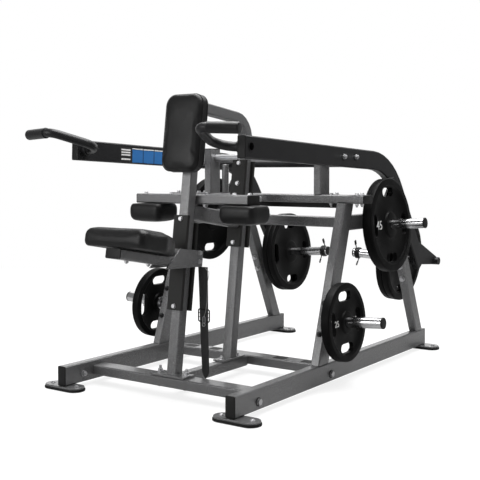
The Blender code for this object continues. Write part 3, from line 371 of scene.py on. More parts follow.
def piece(name, grids, paint, body, stands_for=(), sharp=38.0):
    """One object from closed grids of shape (rows, columns, 3), riding on a body."""
    points = []
    faces = []
    count = 0
    for grid in grids:
        rows, columns = grid.shape[:2]
        points.append(grid.reshape(-1, 3))
        faces.append(grid_faces(rows, columns) + count)
        count += rows * columns
    mesh = bpy.data.meshes.new(name)
    mesh.from_pydata(np.concatenate(points).tolist(), [], np.concatenate(faces).tolist())
    return dressed(name, mesh, paint, body, stands_for, sharp)


@contextmanager
def reworked(mesh, weld):
    """A mesh opened as a bmesh with doubled points welded, and written back at the end."""
    work = bmesh.new()
    work.from_mesh(mesh)
    bmesh.ops.remove_doubles(work, verts=work.verts, dist=weld)
    yield work
    work.to_mesh(mesh)
    work.free()


def dressed(name, mesh, paint, body, stands_for=(), sharp=38.0):
    """Clean a mesh, shade it, paint it and put it on its body."""
    with reworked(mesh, 0.00001) as work:
        bmesh.ops.dissolve_degenerate(work, dist=0.000001, edges=work.edges)
        bmesh.ops.recalc_face_normals(work, faces=work.faces)
    mesh.shade_smooth()
    mesh.set_sharp_from_angle(angle=math.radians(sharp))
    mesh.materials.clear()
    mesh.materials.append(paint)
    made = linked(name, mesh)
    if stands_for:
        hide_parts(*stands_for)
    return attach(made, body)


# %% Directions and placed grids
def basis(normal, up=(0, 0, 1)):
    """Rows across, up and out of a face, as three unit vectors square to each other."""
    out = np.array(normal, float) / np.linalg.norm(normal)
    across = np.cross(up, out)
    if np.linalg.norm(across) < 0.001:
        across = np.cross((0, 1, 0), out)
    across = across / np.linalg.norm(across)
    return np.stack((across, np.cross(out, across), out))


def placed(grid, origin, normal, up=(0, 0, 1)):
    """A local grid (across, up, out) moved to an origin and turned to face a normal."""
    return grid @ basis(normal, up) + np.array(origin)


# %% Profiles
def turned_grid(profile, columns=64):
    """A profile of (distance out, radius) pairs turned once about the out axis."""
    profile = np.array(profile, float)
    turn = np.linspace(0, 2 * np.pi, columns, endpoint=False)
    over = profile[:, 1:2] * np.cos(turn)
    up = profile[:, 1:2] * np.sin(turn)
    return np.stack((over, up, np.broadcast_to(profile[:, 0:1], over.shape)), axis=-1)


def rounded_ring(width, height, corner, steps=6):
    """A rounded rectangle: each corner point is its centre plus a quarter turn."""
    quarter = np.linspace(0, np.pi / 2, steps + 1)
    start = np.arange(4)[:, None] * np.pi / 2
    turn = start + quarter
    side = np.array([(1, 1), (-1, 1), (-1, -1), (1, -1)], float)
    over = side[:, 0:1] * (width / 2 - corner) + corner * np.cos(turn)
    up = side[:, 1:2] * (height / 2 - corner) + corner * np.sin(turn)
    return np.stack((over, up), axis=-1).reshape(-1, 2)


def block_grid(width, height, corner, levels):
    """Rounded rectangles at (distance out, inset) levels, closed at both ends."""
    rings = []
    for out, inset in levels:
        ring = rounded_ring(width - 2 * inset, height - 2 * inset, max(corner - inset, 0.0004))
        rings.append(np.column_stack((ring, np.full(len(ring), out))))
    start, end = (np.zeros_like(rings[0]) + (0, 0, level[0]) for level in (levels[0], levels[-1]))
    return np.stack([start, *rings, end])


def soft_levels(thick, edge):
    """Levels of a plate whose outer edge is a quarter round."""
    turn = np.linspace(0, np.pi / 2, 4)
    quarter = [(thick - edge + edge * math.sin(swing), edge * (1 - math.cos(swing))) for swing in turn]
    return [(0.0, 0.0)] + quarter


print("ring points", len(rounded_ring(1, 1, 0.1)))

# %% [markdown]
# ## Tubes and flat steel
#
# The frame's tubes already have their true shape.  A copy of each is merged
# into one skin and its edges get a small Bevel, so that light runs along them
# as it does on bent and painted tube.  A finer sweep could redraw them, but
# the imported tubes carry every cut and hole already.


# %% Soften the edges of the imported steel
def body_of(node):
    """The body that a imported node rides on."""
    return frame["nodes"][node]["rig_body"]


def bevelled(made, width, segments, degrees):
    """Round every edge that turns by more than an angle, with a Bevel modifier."""
    bevel = made.modifiers.new("edges", "BEVEL")
    bevel.width = width
    bevel.segments = segments
    bevel.limit_method = "ANGLE"
    bevel.angle_limit = math.radians(degrees)
    bevel.use_clamp_overlap = True
    bevel.harden_normals = True
    return made


PACKED_WELD = 0.00002


def softened(node, paint, width=0.0016, segments=2):
    """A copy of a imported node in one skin, with bevelled edges, in its place."""
    mesh = frame["nodes"][node].data.copy()
    with reworked(mesh, PACKED_WELD) as work:
        bmesh.ops.dissolve_limit(work, angle_limit=math.radians(1.0), verts=work.verts, edges=work.edges)
    made = dressed(node + "_steel", mesh, paint, body_of(node), (node,), 30.0)
    return bevelled(made, width, segments, 30)


GREY_STEEL = ["front_cross_member", "middle_cross_member", "centre_beam", "seat_post", "rear_post",
              "post_link", "thigh_pad_bar", "bearing_beam", "rear_tie", "seat_beam", "seat_carriage"]
GREY_STEEL += [stem + side for side, sign in SIDES
               for stem in ("side_rail_", "front_upright_", "rear_upright_", "pivot_post_")]
SLIDES = ("seat_slide_front", "seat_slide_rear", "rear_slide_front", "rear_slide_rear")
for node in GREY_STEEL:
    softened(node, frame_paint)
for side, sign in SIDES:
    softened("press_arm_" + side, arm_paint)
for node in SLIDES:
    softened(node, slide_plastic, 0.0008)
print("softened", len(GREY_STEEL) + len(SIDES) + len(SLIDES))

# %% [markdown]
# ## Feet
#
# Each foot is a steel plate on a moulded rubber shoe that stands a little
# proud of it.  Two stadium outlines give both: the straight sides follow from
# moving the right half of a circle to one end and the left half to the other.

# %% Rubber shoes and steel plates
FOOT_LENGTH = 0.215
FOOT_DEPTH = 0.090
FOOT_OUT = 0.011
FOOT_PLACES = (("front", FOOT_OUT, 0.027), ("rear", 0.0, 1.789))
RAIL_WIDTH = 0.045
RAIL_MIDDLE = RAIL_FACE - RAIL_WIDTH / 2


def stadium_grid(length, depth, levels, steps=20):
    """Stadium outlines at (height, inset) levels, closed at both ends."""
    turn = np.linspace(-np.pi / 2, np.pi / 2, steps)
    reach = (length - depth) / 2
    rings = []
    for height, inset in [(levels[0][0], depth / 2), *levels, (levels[-1][0], depth / 2)]:
        radius = depth / 2 - inset
        right = np.column_stack((reach + radius * np.cos(turn), radius * np.sin(turn)))
        ring = np.concatenate((right, -right))
        rings.append(np.column_stack((ring, np.full(len(ring), height))))
    return np.stack(rings)


for side, sign in SIDES:
    for end, out, y in FOOT_PLACES:
        node = "foot_plate_" + end + "_" + side
        place = at(sign * (RAIL_MIDDLE + out), y, -RUBBER)
        shoe = [(0.0, 0.003), (0.002, 0.0), (RUBBER - 0.003, 0.0), (RUBBER, 0.002)]
        piece("rubber_shoe_" + end + "_" + side, [stadium_grid(FOOT_LENGTH, FOOT_DEPTH, shoe) + place],
              rubber, "frame")
        steel = [(RUBBER, 0.0035), (RUBBER + STEEL_FOOT - 0.0015, 0.0035), (RUBBER + STEEL_FOOT, 0.005)]
        piece("foot_steel_" + end + "_" + side, [stadium_grid(FOOT_LENGTH, FOOT_DEPTH, steel) + place],
              frame_paint, "frame", (node,))
print("feet", 4)

# %% [markdown]
# ## Caps for the open tube ends
#
# Every open end of box tube is closed by a black moulded plug with a flat
# flange.  Its outline is the tube's, and its edge is a quarter round.

# %% Tube caps
CAP_THICK = 0.004


def tube_cap(name, body, origin, normal, width, height, up=(0, 0, 1)):
    """A flanged plug on a tube's end, with its face along a normal."""
    grid = block_grid(width, height, 0.006, soft_levels(CAP_THICK, 0.002))
    return piece(name, [placed(grid, origin, normal, up)], cap_plastic, body)


RAIL_HEIGHT = RAIL_HIGH[2] - RAIL_LOW[2]
RAIL_CENTRE_Z = (RAIL_HIGH[2] + RAIL_LOW[2]) / 2
BEAM_LOW, BEAM_HIGH = box_of("bearing_beam")
THIGH_LOW, THIGH_HIGH = box_of("thigh_pad_bar")
for side, sign in SIDES:
    for end, y, way in (("front", RAIL_LOW[1], -1), ("rear", RAIL_HIGH[1], 1)):
        place = (sign * RAIL_MIDDLE, y, RAIL_CENTRE_Z)
        tube_cap("rail_cap_" + end + "_" + side, "frame", place, (0, way, 0), RAIL_WIDTH, RAIL_HEIGHT)
    for label, low, high in (("bearing_beam", BEAM_LOW, BEAM_HIGH), ("thigh_bar", THIGH_LOW, THIGH_HIGH)):
        middle = (low + high) / 2
        end_x = high[0] if sign > 0 else low[0]
        tube_cap(label + "_cap_" + side, "frame", (end_x, middle[1], middle[2]), (sign, 0, 0),
                 high[1] - low[1], high[2] - low[2])
    low, high = box_of("pivot_post_" + side)
    middle = (low + high) / 2
    tube_cap("pivot_post_cap_" + side, "frame", (middle[0], middle[1], high[2]), (0, 0, 1),
             high[0] - low[0], high[1] - low[1], (0, 1, 0))
print("caps", 10)

# %% [markdown]
# The arms slope down a little to the rear, and their front ends are cut
# square to that slope, so their caps face along it.  The seat beam's cap
# faces along the seat's tilt in the same way.

# %% Sloping caps
ARM_SLOPE = math.radians(2.06)
ARM_HEIGHT = 0.090
ARM_FRONT = (0.086, 1.0437)
SEAT_TILT = math.radians(10.0)
SEAT_UNDER = 0.6215
SEAT_BEAM_FRONT = -0.153
SEAT_BEAM = (0.079, 0.042)
arm_way = np.array((0, -math.cos(ARM_SLOPE), math.sin(ARM_SLOPE)))
seat_along = np.array((0, math.cos(SEAT_TILT), -math.sin(SEAT_TILT)))
seat_up = np.array((0, math.sin(SEAT_TILT), math.cos(SEAT_TILT)))
for side, sign in SIDES:
    front = at(sign * (ARM_FACE - ARM_WIDTH / 2), *ARM_FRONT)
    tube_cap("arm_cap_" + side, "press", front, arm_way, ARM_WIDTH, ARM_HEIGHT)
beam_end = at(0, 0, SEAT_UNDER) + seat_along * SEAT_BEAM_FRONT - seat_up * (SEAT_BEAM[1] / 2)
tube_cap("seat_beam_cap", "seat", beam_end, -seat_along, *SEAT_BEAM)
print("seat beam end", beam_end.round(3))

# %% [markdown]
# ## Plates
#
# A cast plate is a turned profile: a rounded rim, a sunken web and a raised
# hub.  The four grip holes are cut through the web with rounded slots.  The
# horns rise toward their tips, and the plates hang square to them, so both
# are drawn on a level axis and turned by the slope of the slide that the
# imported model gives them.

# %% The slope and centre of each horn
HORN_RADIUS = 0.0245
PLATE_BORE = 0.0253
HORNS = {"outer": (0.532, 1.205, 0.691), "stored": (0.538, 0.7504, 0.2813),
         "inner": (0.35735, 1.7225, 0.478)}
SLIDE = {"outer": "outer_plate_slide_", "stored": "stored_plate_slide_", "inner": "inner_plates_slide_"}
JOINTS = {joint["name"]: joint for joint in frame["joints"]}


def horn_axis(kind, side, sign):
    """A point on a horn's axis and its direction away from the machine's steel."""
    x, y, z = HORNS[kind]
    way = np.array(JOINTS[SLIDE[kind] + side]["axis"], float)
    return at(sign * x, y, z), way / np.linalg.norm(way)


outer_rise = math.asin(horn_axis("outer", "right", 1)[1][2])
print("outer horn rises", round(math.degrees(outer_rise), 2), "degrees")


# %% Turned plates with cut grip holes
RIM_SHARE = 0.86
WEB_SHARE = 0.24
GRIP_HOLE = (0.112, 0.044)
GRIP_FROM_RIM = 0.0355
HUB_SHARE = 0.27
PLATE_RADIUS = {"outer": 0.225, "stored": 0.175, "inner": 0.225}
THICK = {"outer": 0.048, "stored": 0.042, "inner": 0.0325}
SLOT_TURN = np.array(((0, 1, 0), (-1, 0, 0), (0, 0, 1.0)))


def evaluated_mesh(thing):
    """The mesh that an object shows with its modifiers, as new data."""
    bpy.context.view_layer.update()
    graph = bpy.context.evaluated_depsgraph_get()
    return bpy.data.meshes.new_from_object(thing.evaluated_get(graph))


def plate_profile(radius, thick):
    """Half section of a plate: bore, hub, web and rounded rim, front and back."""
    half = thick / 2
    hub, rim = radius * HUB_SHARE, radius * RIM_SHARE
    web = thick * WEB_SHARE
    lip = 0.006
    side = [(half - 0.0015, PLATE_BORE), (half, PLATE_BORE + 0.0015), (half, hub - 0.004),
            (half - 0.002, hub), (web + 0.003, hub + 0.004), (web, hub + 0.010), (web, radius * 0.60),
            (web, rim - 0.016), (web + 0.003, rim - 0.009), (half - 0.002, rim - 0.003), (half, rim)]
    side += [(half - lip + lip * math.cos(swing), radius - lip + lip * math.sin(swing))
             for swing in np.linspace(0, np.pi / 2, 5)]
    back = [(-out, r) for out, r in reversed(side)]
    return side + back + [side[0]]


def cast_plate(name, node, kind, side, sign, shift):
    """A turned plate with four slots, on its horn's axis."""
    radius, thick = PLATE_RADIUS[kind], THICK[kind]
    origin, way = horn_axis(kind, side, sign)
    middle = origin + way * shift
    grid = placed(turned_grid(plate_profile(radius, thick), 96), middle, way)
    made = piece(name, [grid], plate_paint, body_of(node), (node,), 28.0)
    reach = radius * RIM_SHARE - GRIP_FROM_RIM
    slot = stadium_grid(*GRIP_HOLE, [(-thick, 0.0), (thick, 0.0)], 12) @ SLOT_TURN + (reach, 0, 0)
    slots = []
    for quarter in range(4):
        cosine, sine = math.cos(quarter * math.pi / 2), math.sin(quarter * math.pi / 2)
        spin = np.array(((cosine, sine, 0), (-sine, cosine, 0), (0, 0, 1)))
        slots.append(placed(slot @ spin, middle, way))
    cutter = piece("slot_cutter", slots, plate_paint, body_of(node))
    cut = made.modifiers.new("slots", "BOOLEAN")
    cut.operation = "DIFFERENCE"
    cut.object = cutter
    cut_mesh = evaluated_mesh(made)
    made.modifiers.clear()
    made.data = cut_mesh
    bpy.data.objects.remove(cutter)
    return bevelled(made, 0.0012, 2, 50)


pair = THICK["inner"] / 2 + 0.00015
DISCS = (("outer_disc_", "outer_plate_", "outer", 0.0), ("stored_disc_", "stored_plate_", "stored", 0.0),
         ("inner_disc_1_", "inner_plate_1_", "inner", -pair),
         ("inner_disc_2_", "inner_plate_2_", "inner", pair))
for side, sign in SIDES:
    for name, node, kind, shift in DISCS:
        cast_plate(name + side, node + side, kind, side, sign, shift)
print("plates", len(SIDES) * len(DISCS))

# %% [markdown]
# The outer and stored plates carry their weight as plain raised numbers beside
# the hub.  A text curve with a little depth becomes a mesh, and its points are
# then set on the plate's face.


# %% Plain numbers
def points_of(mesh):
    """All vertex places of a mesh as an array."""
    flat = np.empty(len(mesh.vertices) * 3, np.float32)
    mesh.vertices.foreach_get("co", flat)
    return flat.reshape(-1, 3).astype(float)


def number(name, words, size, body, origin, normal):
    """Raised figures of one size, centred on a point of a face."""
    curve = bpy.data.curves.new(name, "FONT")
    curve.body = words
    curve.size = size
    curve.align_x = "CENTER"
    curve.align_y = "CENTER"
    curve.extrude = 0.0006
    text = linked(name, curve)
    bpy.context.view_layer.update()
    mesh = bpy.data.meshes.new_from_object(text)
    bpy.data.objects.remove(text)
    points = placed(points_of(mesh), origin, normal)
    mesh.vertices.foreach_set("co", points.astype(np.float32).ravel())
    return dressed(name, mesh, number_paint, body)


NUMBERS = (("outer", "outer_plate_", "45", 0.060, 0.115), ("stored", "stored_plate_", "25", 0.038, 0.083))
for side, sign in SIDES:
    for kind, stem, words, size, reach in NUMBERS:
        origin, way = horn_axis(kind, side, sign)
        face = origin + way * (THICK[kind] * WEB_SHARE + 0.0004)
        across = basis(way)[0]
        for place, label in ((-1, "_a"), (1, "_b")):
            number("figure_" + kind + "_" + side + label, words, size, body_of(stem + side),
                   face + across * place * reach, way)
print("numbers", 8)

# %% [markdown]
# ## Horns
#
# A loading horn is chromed tube with a welded stop collar and a black plug in
# its tip.  It is one profile turned about the horn's axis, fine enough for
# clean reflections.

# %% Chromed horns with plugs
HORN_ENDS = {"outer": (-0.043, 0.195), "stored": (-0.0635, 0.194), "inner": (-0.072, 0.2765)}
COLLAR_RADIUS = 0.034
COLLAR_THICK = 0.0097
HORN_NODES = {"outer": "outer_horn_", "stored": "storage_horn_", "inner": "inner_horn_"}
COLLAR_PLACE = {"outer": -0.0243, "stored": -0.0213, "inner": -0.0329}


def dome(out, radius, rise, spread, steps=6, start=0.0):
    """A rounded end: the sine of a growing angle leads out and its cosine is the radius."""
    turn = np.linspace(start, np.pi / 2, steps)
    return [(out + rise * math.sin(swing), radius + spread * math.cos(swing)) for swing in turn]


def horn(kind, side, sign):
    """Tube, collar and plug of one horn."""
    origin, way = horn_axis(kind, side, sign)
    root, tip = HORN_ENDS[kind]
    seat = COLLAR_PLACE[kind]
    back = seat - COLLAR_THICK
    profile = [(root, 0.0), (root, HORN_RADIUS), (back, HORN_RADIUS), (back, COLLAR_RADIUS - 0.001),
               (back + 0.001, COLLAR_RADIUS), (seat - 0.001, COLLAR_RADIUS),
               (seat, COLLAR_RADIUS - 0.001), (seat, HORN_RADIUS), (tip - 0.0008, HORN_RADIUS),
               (tip, HORN_RADIUS - 0.0008), (tip, 0.0)]
    node = HORN_NODES[kind] + side
    piece(kind + "_tube_" + side, [placed(turned_grid(profile), origin, way)], chrome, body_of(node),
          (node,))
    flange = HORN_RADIUS + 0.0006
    plug = [(tip - 0.006, 0.0), (tip - 0.006, flange), (tip - 0.0008, flange),
            *dome(tip - 0.0012, HORN_RADIUS - 0.002, 0.0022, 0.0026, 5), (tip + 0.001, 0.0)]
    piece(kind + "_plug_" + side, [placed(turned_grid(plug), origin, way)], cap_plastic, body_of(node))


for side, sign in SIDES:
    for kind in HORNS:
        horn(kind, side, sign)
print("horns", 6)

# %% [markdown]
# ## Wire, handles and rods
#
# Round bar that bends is a circle carried along a route.  At each point of
# the route the circle lies square to it, and its own zero direction is turned
# as little as possible from the one before, so that the skin never twists.


# %% A circle carried along a route
def carried_grid(route, radii, columns=24):
    """Circles of the given radii square to a route, closed at both ends."""
    route = np.array(route, float)
    way = np.gradient(route, axis=0)
    way /= np.linalg.norm(way, axis=1)[:, None]
    over = np.cross(way[0], (0.3, 0.5, 0.8))
    frames = []
    for direction in way:
        over = over - direction * over.dot(direction)
        over = over / np.linalg.norm(over)
        frames.append((over, np.cross(direction, over)))
    frames = np.array(frames)
    turn = np.linspace(0, 2 * np.pi, columns, endpoint=False)
    radii = np.broadcast_to(np.array(radii, float), (len(route),))[:, None, None]
    rings = (frames[:, 0:1] * np.cos(turn)[:, None] + frames[:, 1:2] * np.sin(turn)[:, None]) * radii
    rings = rings + route[:, None]
    start = np.repeat(route[None, :1], columns, axis=1)
    end = np.repeat(route[None, -1:], columns, axis=1)
    return np.concatenate((start, rings, end))


def rounded_route(corners, radii, steps=10):
    """A route through corners, each replaced by an arc of its own radius."""
    corners = [np.array(corner, float) for corner in corners]
    route = [corners[0]]
    for before, corner, after, radius in zip(corners, corners[1:], corners[2:], radii):
        way_in = (corner - before) / np.linalg.norm(corner - before)
        way_out = (after - corner) / np.linalg.norm(after - corner)
        turn = math.acos(way_in.dot(way_out))
        side = (way_out - way_in * math.cos(turn)) / math.sin(turn)
        start = corner - way_in * radius * math.tan(turn / 2)
        for step in range(steps + 1):
            swept = turn * step / steps
            route.append(start + way_in * radius * math.sin(swept)
                         + side * radius * (1 - math.cos(swept)))
    return route + [corners[-1]]


# %% [markdown]
# The handles are bent tube that turns in the arm's hole, with an open outer
# end and a welded sleeve inside the arm.  Their last run carries a thicker
# moulded grip with a rolled lip and a rounded end.

# %% Handles and grips
HANDLE_RADIUS = 0.019
HANDLE_BORE = 0.016
GRIP_RADIUS = 0.0225
HANDLE_BENDS = (0.075, 0.042)
HANDLE_CORNERS = ((0.4675, 0.122, 1.045), (0.296, 0.122, 1.045),
                  (0.388, -0.112, 1.112), (0.556, -0.084, 1.106))
for side, sign in SIDES:
    node = "handle_" + side
    corners = [at(sign * x, y, z) for x, y, z in HANDLE_CORNERS]
    route = rounded_route(corners, HANDLE_BENDS)
    tube = carried_grid(route[:-1] + [corners[-1] * 0.98 + corners[-2] * 0.02], HANDLE_RADIUS, 32)
    mouth = corners[0] + np.array((-sign * 0.030, 0, 0))
    inner = np.stack([(tube[1] - corners[0]) * HANDLE_BORE / HANDLE_RADIUS + end
                      for end in (corners[0], mouth)])
    floor_of_bore = np.repeat(mouth[None, None], 32, axis=1)
    piece("handle_tube_" + side, [np.concatenate((floor_of_bore, inner[::-1], tube[1:]))],
          arm_paint, body_of(node), (node,))
    way = corners[3] - corners[2]
    way = way / np.linalg.norm(way)
    start = np.array(route[-2]) + way * 0.004
    reach = np.linalg.norm(corners[3] - start)
    lip = [(0.0, 0.0), (0.0, GRIP_RADIUS - 0.001), (0.001, GRIP_RADIUS + 0.0004),
           (0.005, GRIP_RADIUS + 0.0004), (0.006, GRIP_RADIUS - 0.0002)]
    tip = dome(reach - 0.006, GRIP_RADIUS - 0.0062, 0.006, 0.006)
    piece("handle_grip_" + side, [placed(turned_grid([*lip, *tip, (reach, 0.0)], 40), start, way)],
          arm_paint, body_of(node))
    sleeve = [(0.0, 0.0), (0.0, 0.0245), (0.020, 0.0245), (0.022, 0.0225), (0.022, 0.0)]
    root = at(sign * (ARM_FACE - ARM_WIDTH), *HANDLE_CORNERS[0][1:])
    piece("handle_sleeve_" + side, [placed(turned_grid(sleeve), root, (-sign, 0, 0))],
          arm_paint, "press")
print("handles", 2)

# %% [markdown]
# ## Pivot shaft, cross tube and stop
#
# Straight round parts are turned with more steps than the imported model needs,
# and their ends get the small chamfer of cut bar.  The stop is an upright rod
# with a rounded top, on which the press comes to rest.


# %% Straight round parts
def between(name, node, start, end, radius, paint, slot, edge=0.0015):
    """A round bar from one point to another, with chamfered ends."""
    start, end = np.array(start, float), np.array(end, float)
    length = np.linalg.norm(end - start)
    profile = [(0.0, 0.0), (0.0, radius - edge), (edge, radius), (length - edge, radius),
               (length, radius - edge), (length, 0.0)]
    grid = placed(turned_grid(profile), start, end - start)
    return piece(name, [grid], paint, body_of(node), (node,))


def ends_along_x(node):
    """The two end centres and the radius of a packed round part that lies along X."""
    low, high = box_of(node)
    middle = (low + high) / 2
    return (low[0], *middle[1:]), (high[0], *middle[1:]), (high[2] - low[2]) / 2


for node, paint, slot in (("pivot_shaft", zinc, "frame_paint"), ("torque_tube", arm_paint, "arm_paint")):
    between(node + "_bar", node, *ends_along_x(node), paint, slot)

stop_low, stop_high = box_of("stop_rod")
stop_middle = (stop_low + stop_high) / 2
stop_radius = (stop_high[0] - stop_low[0]) / 2
stop_length = stop_high[2] - stop_low[2]
collar = stop_length - 0.030
round_top = dome(stop_length - 0.004, stop_radius - 0.004, 0.004, 0.004)
profile = [(0.0, 0.0), (0.0, stop_radius - 0.001), (0.001, stop_radius - 0.0005),
           (collar, stop_radius - 0.0005), (collar + 0.0006, stop_radius), *round_top, (stop_length, 0.0)]
stop_foot = (stop_middle[0], stop_middle[1], stop_low[2])
piece("stop_rod_bar", [placed(turned_grid(profile), stop_foot, (0, 0, 1))],
      frame_paint, "frame", ("stop_rod",))
print("stop rod", round(stop_length, 3), "high")

# %% [markdown]
# ## Bolts
#
# A hexagon's radius at an angle is its apothem over the cosine of the angle
# to the nearest flat.  The top corners are cut by a 30 degree cone, as on
# real bolt heads.  A washer lies under each head.


# %% Hexagon heads, washers and nuts
HEX_POINTS = 24
WASHER_THICK = 0.0022


def hex_grids(place, normal, flat=0.0095, height=0.008, washer=0.0135, stud=0.0):
    """A washer and a hexagon head on a face, with a stud's end if it is a nut."""
    turn = np.linspace(0, 2 * np.pi, HEX_POINTS, endpoint=False)
    reach = flat / np.cos(np.mod(turn, np.pi / 3) - np.pi / 6)
    ring = np.stack((np.cos(turn), np.sin(turn)), axis=-1)
    low, crown = WASHER_THICK, flat * 0.94
    top = low + height
    cone = top - (reach - crown) * math.tan(math.radians(30))
    levels = ((0 * reach, low), (reach, low), (reach, cone), (0 * reach + crown, top), (0 * reach, top))
    head = np.stack([np.column_stack((ring * radius[:, None], np.full(HEX_POINTS, level)))
                     for radius, level in levels])
    edge = [(0.0, 0.0), (0.0, washer), (0.0018, washer), (low, washer - 0.0005), (low, 0.0)]
    grids = [turned_grid(edge, 32), head]
    if stud:
        end, thread = top + stud, flat * 0.60
        shank = [(0.0, 0.0), (0.0, thread), (end - 0.001, thread), (end, flat * 0.50), (end, 0.0)]
        grids.append(turned_grid(shank, 24))
    up = (0, 0, 1) if abs(normal[2]) < 0.9 else (0, 1, 0)
    return [placed(grid, place, normal, up) for grid in grids]


def bolts(name, body, places, paint=zinc, **shape):
    """One object that holds every bolt of a group: each is a place and a face normal."""
    grids = [grid for place, normal in places for grid in hex_grids(place, normal, **shape)]
    return piece(name, grids, paint, body, (), 25.0)


def dark_rings(name, body, places, radius):
    """Flat black rings that lie on a face under bolt heads."""
    ring = [(0.0, 0.0), (0.0, radius), (0.0012, radius), (0.0016, radius - 0.0008), (0.0016, 0.0)]
    grids = [placed(turned_grid(ring, 40), place, normal) for place, normal in places]
    return piece(name, grids, cap_plastic, body)


# %% Bolts through the base, the uprights and the beams
LEAN = math.radians(7.5)
LEAN_UP = np.array((0, math.sin(LEAN), math.cos(LEAN)))
LEAN_OUT = np.array((0, math.cos(LEAN), -math.sin(LEAN)))
RAIL_BOLTS = ((0.158, 0.042), (0.747, 0.042))
UPRIGHT_SLOPE = math.radians(18.2)
LEG_SLOPE = math.radians(25.0)
BEAM_TOP, BEAM_UNDER = BEAM_HIGH[2], BEAM_LOW[2]
BEAM_MIDDLE_Y = (BEAM_LOW[1] + BEAM_HIGH[1]) / 2
RAIL_TOP = 0.0948


def up_a_slope(x, foot_y, slope, heights):
    """Places on a leaning face: Y moves by the height above the rail times the slope's tangent."""
    normal = (0, -math.cos(slope), math.sin(slope))
    return [(at(x, foot_y + (z - RAIL_TOP) * math.tan(slope), z), normal) for z in heights]


for side, sign in SIDES:
    out = (sign, 0, 0)
    places = [(at(sign * RAIL_FACE, y, z), out) for y, z in RAIL_BOLTS]
    dark_rings("rail_rings_" + side, "frame", places, 0.0180)
    bolts("rail_bolts_" + side, "frame", places, flat=0.0118, height=0.010, washer=0.0132)
    inside = [(at(sign * (RAIL_FACE - RAIL_WIDTH), 0.110, 0.046), (-sign, 0, 0))]
    bolts("rail_nuts_" + side, "frame", inside, flat=0.0105, height=0.010, stud=0.006)
    feet = [(at(sign * (RAIL_MIDDLE + shift) + along, y, STEEL_FOOT), (0, 0, 1))
            for end, shift, y in FOOT_PLACES for along in (-0.073, 0.073)]
    bolts("foot_bolts_" + side, "frame", feet, flat=0.0070, height=0.004, washer=0.0105)
    clamps = [(sign * (RAIL_MIDDLE + along), BEAM_MIDDLE_Y + back) for along in (-0.066, 0.066)
              for back in (-0.026, 0.026)]
    bolts("beam_bolts_" + side, "frame", [((x, y, BEAM_TOP), (0, 0, 1)) for x, y in clamps],
          flat=0.0085, height=0.007, washer=0.0120)
    bolts("beam_nuts_" + side, "frame", [((x, y, BEAM_UNDER), (0, 0, -1)) for x, y in clamps],
          flat=0.0085, height=0.008, washer=0.0120, stud=0.007)
    rise = up_a_slope(sign * RAIL_MIDDLE, 0.638, UPRIGHT_SLOPE, (0.228, 0.360))
    bolts("horn_bolts_" + side, "frame", rise, arm_paint, flat=0.0090, height=0.010, stud=0.006)
    leg = up_a_slope(sign * RAIL_MIDDLE, 1.6864, -LEG_SLOPE, (0.389, 0.455))
    bolts("leg_bolts_" + side, "frame", leg, flat=0.0110, height=0.010, washer=0.0150)

plate_top = [(at(along, 0.2186, 0.0820), (0, 0, 1)) for along in (-0.075, 0.070)]
bolts("seat_post_nuts", "frame", plate_top, flat=0.0095, height=0.011, stud=0.014)
under = [(at(along, 0.2086, 0.0300), (0, 0, -1)) for along in (-0.070, 0.070)]
bolts("seat_post_bolts", "frame", under, flat=0.0085)
plate_ends = [(at(0, y, 0.0820), (0, 0, 1)) for y in (0.566, 0.690)]
bolts("rear_post_nuts", "frame", plate_ends, flat=0.0085, stud=0.006)
bar_top, bar_under = THIGH_HIGH[2], THIGH_LOW[2]
bar_y = (THIGH_LOW[1] + THIGH_HIGH[1]) / 2
heads = [((x, bar_y, bar_top), (0, 0, 1)) for x in (-0.300, -0.152, 0.045, 0.196, 0.276)]
bolts("thigh_bar_bolts", "frame", heads, flat=0.0080, height=0.006, washer=0.0115)
nuts = [((x, bar_y - 0.026, bar_under), (0, 0, -1)) for x in (-0.060, 0.060)]
bolts("thigh_bar_nuts", "frame", nuts, flat=0.0100, height=0.009, stud=0.005)
bolts("beam_face_bolt", "frame", [(at(0, 0.887, 0.815), (0, -1, 0))], flat=0.0095)
print("bolt groups done, beam under", round(BEAM_UNDER, 4))

# %% [markdown]
# A flat black bar runs under the bearing beam, and black non-slip strips lie
# on the middle cross-member, where feet rest.

# %% Flat bar and non-slip strips
BAR_SIZE = (0.860, 0.020, 0.022)
bar_place = (0, BEAM_LOW[1] + 0.030, BEAM_UNDER - 0.0115)
half = BAR_SIZE[2] / 2
levels = [(-half, 0.0015), (0.0015 - half, 0.0), (half - 0.0015, 0.0), (half, 0.0015)]
block = block_grid(*BAR_SIZE[:2], 0.002, levels)
piece("beam_flat_bar", [placed(block, bar_place, (0, 0, 1), (0, 1, 0))],
      cap_plastic, "frame")
MIDDLE_LOW, MIDDLE_HIGH = box_of("middle_cross_member")
strips = []
for start, end in ((-0.375, -0.310), (-0.222, -0.169), (0.152, 0.215), (0.305, 0.370)):
    middle = ((start + end) / 2, (MIDDLE_LOW[1] + MIDDLE_HIGH[1]) / 2, MIDDLE_HIGH[2])
    block = block_grid(end - start, 0.044, 0.003, [(0.0, 0.0), (0.0012, 0.0)])
    strips.append(placed(block, middle, (0, 0, 1), (0, 1, 0)))
piece("non_slip_strips", strips, cap_plastic, "frame")
print("flat bar and", len(strips), "strips")

# %% [markdown]
# The slide strips are screwed to the posts through their front faces, and two
# screws hold the carriage's cheek.  Their places follow the posts' lean.


# %% Screws of the strips, the carriage and the seat beam
def on_strip(node, z):
    """A place on the front face of a leaning strip at a height, and its normal."""
    low, high = box_of(node)
    foot_y = low[1] + 0.016 * math.sin(LEAN) * math.sin(LEAN)
    return np.array((0, foot_y + (z - low[2]) * math.tan(LEAN), z)), tuple(-LEAN_OUT)


